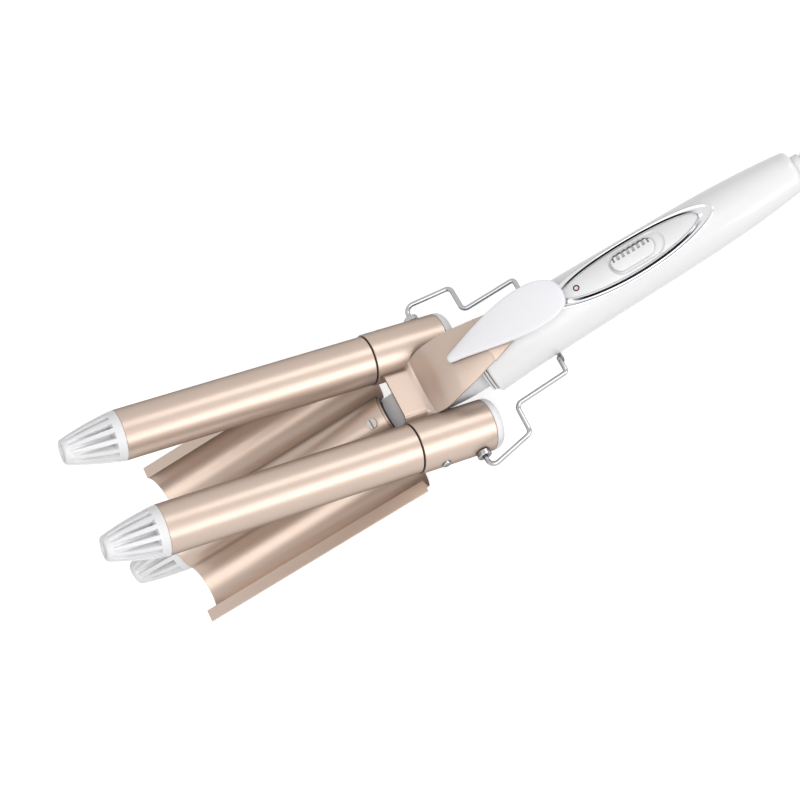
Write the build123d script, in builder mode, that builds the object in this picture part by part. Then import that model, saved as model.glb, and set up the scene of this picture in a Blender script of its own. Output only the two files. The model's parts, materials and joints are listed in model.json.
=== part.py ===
from build123d import *
import os
from math import acos, asin, cos, degrees, pi, radians, sin, sqrt, tan

os.makedirs("parts", exist_ok=True)

# ---------------------------------------------------------------------------
# Driving dimensions, in millimetres and degrees. Stations along the tool are
# measured from the jaw hinge: negative towards the tips, positive towards the
# cord. Those of the jaw are measured with the jaw closed.
# ---------------------------------------------------------------------------

# Jaw
open_angle = 33.0  # the jaw is modelled pressed open by this angle
jaw_rise = 1.0  # outer barrel axes above the hinge, jaw closed
barrel_spacing = 27.0  # middle barrel axis to each outer barrel axis
seam = 25.5  # hinge forward to the barrels' rear ends
seam_gap = 0.4

# Barrels
barrel_r = 12.5
barrel_wall = 1.0
outer_barrel_length = 131.6
middle_barrel_length = 127.5
spreader_wall = 2.2
spreader_margin = 4.0  # left free at both ends of the spreaders
heater_width = 15.0
heater_thickness = 2.6
heater_margin = 6.5  # from the base and from the tip's spigot to the heater
base_depth = 24.0  # insulating base inside a barrel
base_bore_r = 3.2

# Cool tips
tip_length = 28.5
tip_end_r = 5.9
tip_ring = 4.2  # plain band beside the barrel
tip_wall = 2.0
tip_spigot = 9.0
tip_spigot_wall = 1.8
tip_dish = 1.6  # depth of the dished end
tip_step = 0.6  # the cone starts this much below the plain band
tip_slots = 14
tip_slot_width = 1.9
tip_slot_floor_r = 7.0

# Wave plate
plate_sheet = 0.8
plate_overhang = 0.0  # plate longer than the middle barrel
trough_r = 14.0
lip_width = 5.6
lip_height = 5.7  # top of the lips above the middle barrel's axis
hump_setback = 1.2  # hump shorter than the troughs at its rear end
screw_inset = 7.0  # plate screws from the ends of the hump
plate_screw_head_r = 2.6
plate_screw_head = 1.1
plate_screw_r = 1.3
plate_screw_length = 5.0
plate_screw_tilt = 15.0  # the screws sit on the hump's side by this angle
screw_slot = 0.7

# Sleeves, their rivets and end caps
sleeve_r = 13.25
sleeve_wall = 1.2
sleeve_rear = 15.0  # hinge back to the sleeves' rear ends
base_rear_gap = 5.0  # insulating bases stop this far in front of the hinge
cap_length = 5.0
cap_round = 3.5
cap_spigot = 4.5
cap_wall = 1.6
rivet_station = 13.4  # in front of the hinge
rivet_r = 1.5
rivet_head_r = 2.3
rivet_head = 0.9
rivet_length = 6.0

# Hinge
pin_r = 2.5
pin_bore_r = 1.5
pin_reach = 17.0  # half the pin's length
pin_collar_r = 3.4
pin_collar = 0.9
running_fit = 0.05
spring_wire_r = 0.6
spring_r = 3.75
spring_pitch = 1.45
spring_turns = 3
leg_rise = 60.0  # the upper leg rises to the lever at this angle
lower_leg = 11.5
upper_leg = 11.0
jaw_lead_r = 1.1
jaw_lead_bend = 6.0

# Yoke and lever
sheet = 1.5
yoke_front = 24.0  # in front of the hinge
flare_start = 12.5  # in front of the hinge, where the yoke widens over the sleeves
flange_end = 5.0
yoke_top = 7.1
bridge_crown = 0.1
yoke_half_width = 12.8
flange_half_width = 15.0
flange_drop = 4.6  # height of the flanges' outer edges above the hinge
flange_foot = 1.8
flange_toe = 0.25  # taper of the flanges' feet
# along the lever: station, half width, centre height, edge height, vertical thickness
lever_sections = (
    (-8.8, 16.2, 7.3, 8.3, 1.7),
    (-6.0, 17.2, 12.4, 11.8, 3.0),
    (-3.0, 17.5, 18.6, 16.0, 3.0),
    (1.9, 16.7, 25.9, 22.2, 2.8),
    (5.0, 16.2, 28.9, 25.5, 2.4),
    (10.0, 15.1, 33.4, 30.2, 2.0),
    (13.5, 13.9, 36.4, 34.0, 1.9),
)

# Thumb pad, on a plane that rises from the lever
pad_station = 1.6
pad_height = 26.2
pad_slope = 33.0
pad_length = 65.5
pad_width = 23.8
pad_thickness = 2.8
tongue_start = 20.0  # along the pad, the flat tongue that carries it
tongue_end = 46.0
tongue_width = 25.6
tongue_tip_width = 11.0
tongue_thickness = 2.0
tongue_lap = 0.35  # the lever runs into the tongue this far below its top
pad_arch = 3.4  # rise of the arched pad over its chord
pad_screw_r = 1.2
pad_screw_head_r = 2.2
pad_screw_head = 1.2
pad_screw_depth = 1.7  # into the pad
pad_screw_front = 22.0
pad_screw_rear = 40.0

# Neck and its ring
neck_front_r = 9.9
neck_rear_r = 12.5
neck_cone_end = 15.0
neck_flat = 4.5
neck_flat_end = -5.0
neck_ramp_end = 9.0
neck_spigot_r = 8.0
neck_spigot = 20.0
neck_plug = 12.0
spring_slot_width = 9.2
spring_slot_front = 6.5
spring_slot_rear = 13.0
spring_slot_floor = 4.4
lead_bore_r = 1.4
lead_bore_drop = 6.0
ring_station = 26.0
ring_r = 16.8
ring_length = 3.0
ring_round = 0.8

# Handle: distance from its front, half width
handle_start = 29.2
handle_outline = (
    (0.0, 18.4),
    (23.0, 17.2),
    (80.0, 15.9),
    (121.0, 15.0),
    (146.0, 13.8),
    (164.0, 12.2),
    (177.8, 10.6),
)
handle_flatten = 1.0  # the half height is less than the half width by this
handle_rise = 1.0
handle_wall = 2.2
handle_tail_wall = 3.0
handle_front_round = 1.6
handle_tail_round = 3.0
shell_screw_front = 60.0
shell_screw_rear = 161.0
shell_boss_r = 3.4
shell_screw_r = 1.3
shell_screw_head_r = 2.4
shell_screw_head = 1.6
shell_screw_length = 11.0
shell_screw_depth = 6.5  # seat of the screw heads below the shells' joint

# Control panel and switch
panel_front = 71.0
panel_length = 92.5
panel_width = 23.4
panel_depth = 1.4
trim_width = 1.3  # of the outer trim's raised rim
trim_proud = 0.35
inner_trim_length = 77.0
inner_trim_spread = 17.0  # across the tool
inner_trim_width = 0.7
led_station = 87.3
led_r = 0.9
led_ring_r = 1.7
led_ring_proud = 0.1
knob_station = 118.9
knob_length = 23.0
knob_width = 9.8
knob_proud = 1.1
knob_travel = 4.0
knob_gap = 0.3
knob_ribs = 7
knob_rib_pitch = 2.8
knob_rib_length = 5.6
knob_rib_middle = 3.9  # from the knob's axis
dish_length = 30.0
dish_width = 13.4
dish_depth = 0.6
stem_length = 4.0
stem_width = 2.4
board_front = 79.0
board_length = 58.0
board_width = 15.0
board_thickness = 1.6
board_height = 8.0  # top of the board above the hinge
board_peg_r = 1.2
board_post_r = 2.2
board_post_inset = 4.0  # from the board's ends
board_post_edge = 3.0  # from the board's sides
housing_length = 15.0
housing_width = 7.0
housing_wall = 1.2
housing_height = 4.6

# Stand
bush_station = 7.0
bush_r = 2.75
bush_flange_r = 3.6
bush_flange = 3.0
bush_lip_r = 3.3
bush_lip = 1.0
wire_r = 1.2
wire_end_gap = 0.3  # to the floor of the bush's bore
stand_corner_r = 4.0
stand_outer_y = 50.0
stand_jog_x = 25.5  # behind the stand's pivot
stand_jog_outer_y = 45.4
stand_jog_lean = 0.5
stand_arm_y = 29.6
stand_reach = 55.7
stand_taper = 0.7  # the arms draw in by this
stand_knee_y = 20.5
stand_foot_y = 14.5
stand_foot_drop = 14.6  # crossbar below the pivot
stand_rise = 4.6  # arms' far ends above the pivot

# Strain relief and what is inside the handle's tail
cord_r = 3.0
relief_length = 45.0
relief_r = 6.4
relief_tip_r = 4.0
relief_neck_r = 5.2
relief_flange_r = 7.2
relief_flange = 2.5
relief_collar = 4.0
relief_rings = 8
relief_groove = 1.1
clamp_station = 190.0
clamp_length = 5.0
stub_length = 24.0
lead_r = 0.9
lead_spread = 5.6  # from the axis, past the screw bosses
lead_bend = 4.0
neck_lead_r = 1.1

# Cord: stations from the strain relief's end, places across and heights above the floor
cord_straight = 12.0  # straight out of the relief
cord_route = (
    (29.0, 0.8, 18.0),
    (45.0, 2.4, 11.8),
    (62.0, 3.2, 6.0),
    (78.0, 2.5, 4.0),
)
tail_route = (
    (78.0, -79.6, 15.7),
    (66.0, -80.1, 13.2),
    (54.0, -80.4, 8.6),
    (44.0, -80.0, 6.75),
    (36.0, -80.0, 6.75),
)
bend_share = 0.45  # of the shorter run beside each bend
coil_x = 83.0
coil_y = -38.5
coil_r = 35.0  # middle of the turns
coil_width = 18.0
coil_height = 18.0
coil_round = 5.0
tie_thickness = 1.0
tie_width = 9.0
plug_length = 34.0
plug_width = 33.0
plug_height = 13.5
plug_round = 3.5
plug_neck_r = 4.2
plug_neck = 10.0
plug_pin_r = 2.0
plug_pin_length = 19.0
plug_pin_spacing = 19.0

# ---------------------------------------------------------------------------
# The frame: origin at the centre of the base of the object without its cord
# ---------------------------------------------------------------------------

cos_open = cos(radians(open_angle))
sin_open = sin(radians(open_angle))
handle_length = handle_outline[-1][0]
handle_end = handle_start + handle_length
relief_end = handle_end + relief_length
middle_tip_end = -seam - middle_barrel_length - tip_length
plate_length = middle_barrel_length + plate_overhang
pad_screw_stations = (pad_screw_front, pad_screw_rear)
shell_screw_stations = (shell_screw_front, shell_screw_rear)
cap_rear = sleeve_rear + cap_length

# The jaw's end caps are its lowest points when it is pressed open.
cap_low = (cap_rear - cap_round) * sin_open + (sleeve_r - cap_round - jaw_rise) * cos_open + cap_round
hinge = Vector(-(middle_tip_end + relief_end) / 2, 0, cap_low)

jaw_along = Vector(cos_open, 0, -sin_open)
jaw_up = Vector(sin_open, 0, cos_open)
across = Vector(0, 1, 0)
sides = {"left": -1, "right": 1}


def base_point(x, y, z):
    """A point of the handle's body, from its place relative to the hinge."""
    return hinge + Vector(x, y, z)


def jaw_point(x, y, z):
    """A point of the jaw, from its place relative to the hinge with the jaw closed."""
    return hinge + jaw_along * x + across * y + jaw_up * z


def base_section(x, z=0.0):
    return Plane(origin=base_point(x, 0, z), x_dir=(0, 1, 0), z_dir=(1, 0, 0))


def base_side(y=0.0):
    return Plane(origin=base_point(0, y, 0), x_dir=(1, 0, 0), z_dir=(0, -1, 0))


def base_top(z=0.0):
    return Plane(origin=base_point(0, 0, z), x_dir=(1, 0, 0), z_dir=(0, 0, 1))


def jaw_section(x, y=0.0, z=0.0):
    return Plane(origin=jaw_point(x, y, z), x_dir=across, z_dir=jaw_along)


def jaw_side(y=0.0):
    return Plane(origin=jaw_point(0, y, 0), x_dir=jaw_along, z_dir=-across)


def save(piece, name):
    """Label a finished piece and write it to its own file."""
    piece.part.label = name
    export_step(piece.part, f"parts/{name}.step")


# Helpers that work on the piece being built


def turn(seat, outline):
    """Turn an outline of (distance along the seat's normal, radius) about that normal."""
    lengthwise = Plane(origin=seat.origin, x_dir=seat.z_dir, z_dir=seat.y_dir)
    with BuildSketch(lengthwise) as profile:
        with BuildLine():
            Polyline(*outline, close=True)
        make_face()
    revolve(profile.sketch, axis=Axis(seat.origin, seat.z_dir))


def disc(seat, start, end, radius, mode=Mode.ADD):
    """A round bar or bore along the seat's normal, from start to end."""
    with BuildSketch(seat.offset(start)) as circle:
        Circle(radius)
    extrude(circle.sketch, amount=end - start, mode=mode)


def cross_hole(plane_at, x, z, y_from, y_to, radius, mode=Mode.SUBTRACT):
    """A round bar or hole across the tool at one station."""
    with BuildSketch(plane_at(y_from)) as circle:
        with Locations((x, z)):
            Circle(radius)
    extrude(circle.sketch, amount=y_from - y_to, mode=mode)


def handle_solid(inset):
    """The handle's outside, taken in by an inset."""
    with BuildPart() as solid:
        sections = []
        for distance, half_width in handle_outline:
            with BuildSketch(base_section(handle_start + distance, handle_rise)) as section:
                Ellipse(half_width - inset, half_width - handle_flatten - inset)
            sections.append(section.sketch)
        loft(sections)
    return solid.part


def half_width_at(x):
    """The handle's half width at a station, between its outline's points."""
    distance = x - handle_start
    for (start, start_r), (end, end_r) in zip(handle_outline, handle_outline[1:]):
        if distance <= end:
            return start_r + (end_r - start_r) * (distance - start) / (end - start)
    return handle_outline[-1][1]


# ---------------------------------------------------------------------------
# Barrels
# ---------------------------------------------------------------------------

barrel_inner_r = barrel_r - barrel_wall
sleeve_inner_r = sleeve_r - sleeve_wall


def make_barrel(prefix, seat, length, rear_hole_r, rear_length):
    """One heated barrel. The seat is at its rear end and faces its tip."""
    with BuildPart() as tube:
        disc(seat, 0, length, barrel_r)
        disc(seat, 0, length, barrel_inner_r, Mode.SUBTRACT)

    with BuildPart() as base:
        disc(seat, 0, base_depth, barrel_inner_r)
        if rear_length:
            disc(seat, -rear_length, -seam_gap, sleeve_inner_r)
            disc(seat, -seam_gap, 0, barrel_inner_r)
        disc(seat, -rear_length, base_depth, rear_hole_r, Mode.SUBTRACT)

    spreader_start = base_depth + spreader_margin
    spreader_end = length - tip_spigot - spreader_margin
    with BuildPart() as spreaders:
        with BuildSketch(seat.offset(spreader_start)):
            Circle(barrel_inner_r)
            Circle(barrel_inner_r - spreader_wall, mode=Mode.SUBTRACT)
            Rectangle(2 * barrel_inner_r, heater_thickness + 2 * spreader_wall, mode=Mode.ADD)
            Rectangle(2 * barrel_inner_r, heater_thickness, mode=Mode.SUBTRACT)
            Circle(barrel_inner_r, mode=Mode.INTERSECT)
        extrude(amount=spreader_end - spreader_start)

    with BuildPart() as heater:
        with BuildSketch(seat.offset(base_depth + heater_margin)):
            Rectangle(heater_width, heater_thickness)
        extrude(amount=length - tip_spigot - base_depth - 2 * heater_margin)

    tip_seat = seat.offset(length)
    tip_floor = tip_length - tip_dish - tip_wall
    with BuildPart() as tip:
        turn(
            tip_seat,
            [
                (-tip_spigot, barrel_inner_r - tip_spigot_wall),
                (-tip_spigot, barrel_inner_r),
                (0, barrel_inner_r),
                (0, barrel_r),
                (tip_ring, barrel_r - tip_step),
                (tip_length, tip_end_r),
                (tip_length, tip_end_r - tip_wall / 2),
                (tip_length - tip_dish, tip_end_r - tip_wall / 2),
                (tip_length - tip_dish, 0),
                (tip_floor, 0),
                (tip_floor, tip_end_r - tip_wall / 2),
                (0, barrel_inner_r - tip_spigot_wall),
            ],
        )
        with BuildSketch(tip_seat.offset(tip_ring)) as slots:
            with PolarLocations((tip_slot_floor_r + barrel_r) / 2, tip_slots):
                Rectangle(barrel_r - tip_slot_floor_r, tip_slot_width)
        extrude(slots.sketch, amount=tip_floor - tip_ring, mode=Mode.SUBTRACT)
    return {
        f"{prefix}_barrel": tube,
        f"{prefix}_barrel_base": base,
        f"{prefix}_heat_spreaders": spreaders,
        f"{prefix}_heater": heater,
        f"{prefix}_tip": tip,
    }


def screw_spots():
    """Stations of the two plate screws along the hump."""
    rear = -seam - hump_setback - screw_inset
    front = -seam - plate_length + screw_inset
    return rear, front


def plate_screw_seat(x):
    """Seat of a plate screw's head, on the hump."""
    outward = Vector(0, -sin(radians(plate_screw_tilt)), cos(radians(plate_screw_tilt)))
    return Plane(origin=base_point(x, 0, 0) + outward * (barrel_r + plate_sheet), x_dir=(1, 0, 0), z_dir=outward)


def drill_plate_screws():
    """Holes for the plate screws, from outside down to their ends."""
    for x in screw_spots():
        disc(plate_screw_seat(x), -plate_screw_length, plate_screw_length, plate_screw_r, Mode.SUBTRACT)


middle_seat = Plane(origin=base_point(-seam, 0, 0), x_dir=across, z_dir=(-1, 0, 0))
middle_pieces = make_barrel("middle", middle_seat, middle_barrel_length, neck_spigot_r, 0)
for name in ("middle_barrel", "middle_barrel_base", "middle_tip"):
    with middle_pieces[name]:
        drill_plate_screws()
for name, piece in middle_pieces.items():
    save(piece, name)

for side, sign in sides.items():
    jaw_seat = Plane(
        origin=jaw_point(-seam - seam_gap, sign * barrel_spacing, jaw_rise), x_dir=across, z_dir=-jaw_along
    )
    pieces = make_barrel(side, jaw_seat, outer_barrel_length, base_bore_r, seam + seam_gap - base_rear_gap)
    with pieces[f"{side}_barrel_base"]:
        rivet_tip = sign * (barrel_spacing + sleeve_r - rivet_length)
        cross_hole(jaw_side, -rivet_station, jaw_rise, rivet_tip, 2 * sign * barrel_spacing, rivet_r)
    for name, piece in pieces.items():
        save(piece, name)

# ---------------------------------------------------------------------------
# Wave plate
# ---------------------------------------------------------------------------


def plate_outline(grow):
    """Right half of the plate's upper face, or of its lower face with grow = -plate_sheet."""
    hump = barrel_r + plate_sheet + grow
    trough = trough_r - grow
    wall_angle = acos((barrel_spacing - hump) / trough)
    lip_z = lip_height + grow - jaw_rise
    lip_angle = asin(lip_z / trough)
    lip_start = barrel_spacing + trough * cos(lip_angle)
    wall_foot = jaw_rise - trough * sin(wall_angle)
    lip_end = barrel_spacing + trough_r + lip_width
    return hump, trough, wall_foot, lip_start, lip_end, degrees(wall_angle), degrees(lip_angle)


def trace_half(grow, sign):
    """Draw one face's half from the hump's top to the lip's edge, on the side of the sign."""
    hump, trough, wall_foot, lip_start, lip_end, wall_angle, lip_angle = plate_outline(grow)
    lip_top = lip_height + grow
    if sign > 0:
        CenterArc((0, 0), hump, 0, 90)
        start_angle, arc_size = 180 + wall_angle, 180 - wall_angle + lip_angle
    else:
        CenterArc((0, 0), hump, 90, 90)
        start_angle, arc_size = 180 - lip_angle, 180 - wall_angle + lip_angle
    Line((sign * hump, 0), (sign * hump, wall_foot))
    CenterArc((sign * barrel_spacing, jaw_rise), trough, start_angle, arc_size)
    Line((sign * lip_start, lip_top), (sign * lip_end, lip_top))


with BuildPart() as wave_plate:
    with BuildSketch(base_section(-seam - plate_length)):
        with BuildLine():
            for sign in sides.values():
                trace_half(0.0, sign)
                trace_half(-plate_sheet, sign)
                edge = barrel_spacing + trough_r + lip_width
                Line((sign * edge, lip_height), (sign * edge, lip_height - plate_sheet))
        make_face()
    extrude(amount=plate_length)
    with BuildSketch(base_section(-seam - hump_setback)):
        with Locations((0, barrel_r)):
            Rectangle(2 * (barrel_r + plate_sheet), 2 * barrel_r)
    extrude(amount=2 * hump_setback, mode=Mode.SUBTRACT)
    drill_plate_screws()
save(wave_plate, "wave_plate")

with BuildPart() as plate_screws:
    for x in screw_spots():
        screw_seat = plate_screw_seat(x)
        disc(screw_seat, -plate_screw_length, 0, plate_screw_r)
        disc(screw_seat, 0, plate_screw_head, plate_screw_head_r)
        with BuildSketch(screw_seat.offset(plate_screw_head / 2)):
            Rectangle(screw_slot, 3 * plate_screw_head_r)
        extrude(amount=plate_screw_head, mode=Mode.SUBTRACT)
save(plate_screws, "plate_screws")

# ---------------------------------------------------------------------------
# Sleeves, end caps and rivets
# ---------------------------------------------------------------------------

for side, sign in sides.items():
    centre_y = sign * barrel_spacing
    sleeve_seat = jaw_section(-seam, centre_y, jaw_rise)
    rear_seat = jaw_section(sleeve_rear, centre_y, jaw_rise)
    outside_y = sign * (barrel_spacing + 2 * sleeve_r)

    with BuildPart() as sleeve:
        disc(sleeve_seat, 0, seam + sleeve_rear, sleeve_r)
        disc(sleeve_seat, 0, seam + sleeve_rear, sleeve_inner_r, Mode.SUBTRACT)
        cross_hole(jaw_side, 0, 0, 0, centre_y, pin_r)
        cross_hole(jaw_side, -rivet_station, jaw_rise, centre_y, outside_y, rivet_r)
        cross_hole(jaw_side, bush_station, jaw_rise, centre_y, outside_y, bush_r + running_fit)
    save(sleeve, f"{side}_sleeve")

    with BuildPart() as end_cap:
        turn(
            rear_seat,
            [
                (-cap_spigot, sleeve_inner_r - cap_wall),
                (-cap_spigot, sleeve_inner_r),
                (0, sleeve_inner_r),
                (0, sleeve_r),
                (cap_length, sleeve_r),
                (cap_length, 0),
                (cap_length - cap_wall, 0),
                (cap_length - cap_wall, sleeve_inner_r - cap_round),
                (0, sleeve_inner_r - cap_wall),
            ],
        )
        outer_rim = end_cap.edges().filter_by(GeomType.CIRCLE).filter_by(
            lambda rim: abs(rim.radius - sleeve_r) < 0.001 and rim.center().Z < rear_seat.origin.Z - 0.1
        )
        fillet(outer_rim, cap_round)
    save(end_cap, f"{side}_end_cap")

with BuildPart() as sleeve_rivets:
    for sign in sides.values():
        head_y = barrel_spacing + sleeve_r
        cross_hole(
            jaw_side, -rivet_station, jaw_rise, sign * (head_y - rivet_length), sign * head_y, rivet_r, Mode.ADD
        )
        cross_hole(
            jaw_side, -rivet_station, jaw_rise, sign * head_y, sign * (head_y + rivet_head), rivet_head_r, Mode.ADD
        )
save(sleeve_rivets, "sleeve_rivets")

# ---------------------------------------------------------------------------
# Hinge tube and closing spring
# ---------------------------------------------------------------------------

pin_seat = Plane(origin=hinge, x_dir=(1, 0, 0), z_dir=across)
with BuildPart() as hinge_tube:
    disc(pin_seat, -pin_reach, pin_reach, pin_r)
    for sign in sides.values():
        disc(pin_seat, sign * (pin_reach - pin_collar), sign * pin_reach, pin_collar_r)
    disc(pin_seat, -pin_reach, pin_reach, pin_bore_r, Mode.SUBTRACT)
save(hinge_tube, "hinge_tube")

# The coil starts under the pin and ends where its tangent rises to the lever.
coil_length = spring_pitch * (spring_turns + (180 - leg_rise) / 360)
with BuildPart() as hinge_spring:
    with BuildLine() as coil_line:
        Helix(spring_pitch, coil_length, spring_r, hinge + across * (coil_length / 2), -across, lefthand=True)
    with BuildSketch(Plane(origin=coil_line.line @ 0, z_dir=coil_line.line % 0)) as wire_section:
        Circle(spring_wire_r)
    sweep(wire_section.sketch, path=coil_line.line)
    lower_seat = Plane(origin=coil_line.line @ 0, z_dir=-(coil_line.line % 0))
    disc(lower_seat, 0, lower_leg, spring_wire_r)
    upper_seat = Plane(origin=coil_line.line @ 1, z_dir=coil_line.line % 1)
    disc(upper_seat, 0, upper_leg, spring_wire_r)
save(hinge_spring, "hinge_spring")

with BuildPart() as jaw_leads:
    with BuildLine() as lead_line:
        FilletPolyline(
            jaw_point(-base_rear_gap - jaw_lead_bend, -barrel_spacing, 0),
            jaw_point(0, -barrel_spacing, 0),
            jaw_point(0, barrel_spacing, 0),
            jaw_point(-base_rear_gap - jaw_lead_bend, barrel_spacing, 0),
            radius=jaw_lead_bend,
        )
    with BuildSketch(Plane(origin=lead_line.line @ 0, z_dir=lead_line.line % 0)) as lead_section:
        Circle(jaw_lead_r)
    sweep(lead_section.sketch, path=lead_line.line)
save(jaw_leads, "jaw_leads")

# ---------------------------------------------------------------------------
# Yoke and lever
# ---------------------------------------------------------------------------


pad_along = jaw_along * cos(radians(pad_slope)) + jaw_up * sin(radians(pad_slope))
pad_origin = jaw_point(pad_station, 0, pad_height)
pad_normal = pad_along.cross(across)
pad_plane = Plane(origin=pad_origin, x_dir=pad_along, z_dir=pad_normal)
pad_side = Plane(origin=pad_origin, x_dir=pad_along, z_dir=-across)
arch_r = ((pad_length / 2) ** 2 + pad_arch**2) / (2 * pad_arch)


def pad_lift(u):
    """Height of the pad's arched underside above its plane."""
    return sqrt(arch_r**2 - (u - pad_length / 2) ** 2) - arch_r + pad_arch


def lap_section(u):
    """The lever's section where it runs into the tongue, u along the pad."""
    x = pad_station + u * cos(radians(pad_slope)) - pad_lift(u) * sin(radians(pad_slope))
    top = pad_height + u * sin(radians(pad_slope)) + pad_lift(u) * cos(radians(pad_slope)) - tongue_lap
    narrowing = (tongue_width - tongue_tip_width) / 2 * (u - tongue_start) / (tongue_end - tongue_start)
    half_width = tongue_width / 2 - narrowing - tongue_lap
    return x, half_width, top, top - tongue_lap / 2, tongue_thickness - tongue_lap / 2


lap_sections = (lap_section(tongue_start + tongue_lap), lap_section(tongue_start + tongue_thickness))


def lever_section(x, half_width, centre, edge, thickness):
    """The lever's curved cross-section at one station."""
    with BuildSketch(jaw_section(x)) as section:
        with BuildLine():
            ThreePointArc((-half_width, edge), (0, centre), (half_width, edge))
            Line((half_width, edge), (half_width, edge - thickness))
            ThreePointArc(
                (half_width, edge - thickness), (0, centre - thickness), (-half_width, edge - thickness)
            )
            Line((-half_width, edge - thickness), (-half_width, edge))
        make_face()
    return section.sketch


def flange_outline(sign):
    """The flange that drops from the yoke's edge to a sleeve."""
    return [
        (sign * (yoke_half_width - sheet), yoke_top),
        (sign * yoke_half_width, yoke_top),
        (sign * flange_half_width, flange_drop),
        (sign * flange_half_width, flange_foot),
        (sign * (yoke_half_width - flange_toe), flange_foot),
        (sign * (yoke_half_width - sheet / 2), flange_drop),
        (sign * (yoke_half_width - sheet), yoke_top - sheet),
    ]


with BuildPart() as yoke_lever:
    with BuildSketch(jaw_section(-yoke_front)) as bridge:
        with Locations((0, yoke_top - sheet / 2)):
            Rectangle(2 * yoke_half_width - sheet, sheet)
    extrude(bridge.sketch, amount=yoke_front - flare_start)
    for sign in sides.values():
        with BuildSketch(jaw_section(-yoke_front)) as flange:
            with BuildLine():
                Polyline(*flange_outline(sign), close=True)
            make_face()
        extrude(flange.sketch, amount=yoke_front - flange_end)
    flare = lever_section(-flare_start, yoke_half_width, yoke_top, yoke_top - bridge_crown, sheet)
    crease = lever_section(*lever_sections[0])
    loft([flare, crease], ruled=True)
    loft([lever_section(*row) for row in lever_sections + lap_sections])
    for sign in sides.values():
        seat = jaw_section(-yoke_front, sign * barrel_spacing, jaw_rise)
        disc(seat, -sleeve_r, yoke_front + sleeve_rear + cap_length, sleeve_r, Mode.SUBTRACT)


def pad_seat(u):
    """Seat of a screw on the pad's underside, facing up through the pad."""
    origin = pad_origin + pad_along * u + pad_normal * pad_lift(u)
    return Plane(origin=origin, x_dir=pad_along, z_dir=pad_normal)


def arched_band(bottom, top):
    """Side outline of a band that follows the pad's arch, between two heights over its underside."""
    with BuildSketch(pad_side) as band:
        with BuildLine():
            ThreePointArc((0, bottom), (pad_length / 2, pad_arch + bottom), (pad_length, bottom))
            Line((pad_length, bottom), (pad_length, top))
            ThreePointArc((pad_length, top), (pad_length / 2, pad_arch + top), (0, top))
            Line((0, top), (0, bottom))
        make_face()
    return band.sketch


with BuildPart() as tongue:
    extrude(arched_band(-tongue_thickness, 0), amount=tongue_width / 2, both=True)
    with BuildSketch(pad_plane.offset(-tongue_thickness)) as tongue_outline:
        with BuildLine():
            Polyline(
                (tongue_start, -tongue_width / 2),
                (tongue_end, -tongue_tip_width / 2),
                (tongue_end, tongue_tip_width / 2),
                (tongue_start, tongue_width / 2),
                close=True,
            )
        make_face()
    extrude(tongue_outline.sketch, amount=pad_arch + 2 * tongue_thickness, mode=Mode.INTERSECT)

with yoke_lever:
    add(tongue.part)
    for u in pad_screw_stations:
        disc(pad_seat(u), -2 * pad_thickness, pad_thickness, pad_screw_r, Mode.SUBTRACT)
save(yoke_lever, "yoke_lever")

with BuildPart() as thumb_pad:
    extrude(arched_band(0, pad_thickness), amount=pad_width, both=True)
    with BuildSketch(pad_plane.offset(-pad_thickness)) as leaf:
        with BuildLine() as leaf_line:
            half = pad_width / 2
            Spline(
                (0, 0),
                (0.12 * pad_length, 0.29 * half),
                (0.40 * pad_length, 0.74 * half),
                (0.70 * pad_length, half),
                (0.87 * pad_length, 0.92 * half),
                (0.96 * pad_length, 0.64 * half),
                (pad_length, 0),
                tangents=[(0, 1), (0, -1)],
            )
            mirror(about=Plane.XZ)
        make_face()
    extrude(leaf.sketch, amount=4 * pad_thickness, mode=Mode.INTERSECT)
    for u in pad_screw_stations:
        disc(pad_seat(u), -pad_thickness, pad_screw_depth, pad_screw_r, Mode.SUBTRACT)
save(thumb_pad, "thumb_pad")

with BuildPart() as pad_screws:
    for u in pad_screw_stations:
        disc(pad_seat(u), -pad_thickness, pad_screw_depth, pad_screw_r)
        disc(pad_seat(u), -pad_thickness - pad_screw_head, -pad_thickness / 2, pad_screw_head_r)
    add(yoke_lever.part, mode=Mode.SUBTRACT)
save(pad_screws, "pad_screws")

# ---------------------------------------------------------------------------
# Stand
# ---------------------------------------------------------------------------

with BuildPart() as stand_bushes:
    for sign in sides.values():
        outside = barrel_spacing + sleeve_r
        inside = barrel_spacing + sqrt(sleeve_inner_r**2 - bush_lip_r**2) - running_fit
        for y_from, y_to, radius in (
            (inside, outside, bush_r),
            (outside, outside + bush_flange, bush_flange_r),
            (inside - bush_lip, inside, bush_lip_r),
        ):
            cross_hole(jaw_side, bush_station, jaw_rise, sign * y_from, sign * y_to, radius, Mode.ADD)
        bore_end = outside + 2 * bush_flange
        cross_hole(jaw_side, bush_station, jaw_rise, sign * outside, sign * bore_end, wire_r + running_fit)
save(stand_bushes, "stand_bushes")

stand_pivot = jaw_point(bush_station, 0, jaw_rise)
wire_end_y = barrel_spacing + sleeve_r + wire_end_gap
stand_half = (
    (0, wire_end_y, 0),
    (0, stand_outer_y, 0),
    (stand_jog_x, stand_jog_outer_y, 0.33 * stand_rise),
    (stand_jog_x + stand_jog_lean, stand_arm_y, 0.72 * stand_rise),
    (stand_reach, stand_arm_y - stand_taper, stand_rise),
    (stand_reach, stand_knee_y, stand_rise),
    (stand_reach, stand_foot_y, -stand_foot_drop),
)
stand_points = [stand_pivot + Vector(x, y, z) for x, y, z in stand_half]
stand_points += [stand_pivot + Vector(x, -y, z) for x, y, z in reversed(stand_half)]
with BuildPart() as stand_wire:
    with BuildLine() as stand_line:
        FilletPolyline(*stand_points, radius=stand_corner_r)
    with BuildSketch(Plane(origin=stand_line.line @ 0, z_dir=stand_line.line % 0)) as stand_section:
        Circle(wire_r)
    sweep(stand_section.sketch, path=stand_line.line)
save(stand_wire, "stand_wire")

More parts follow.
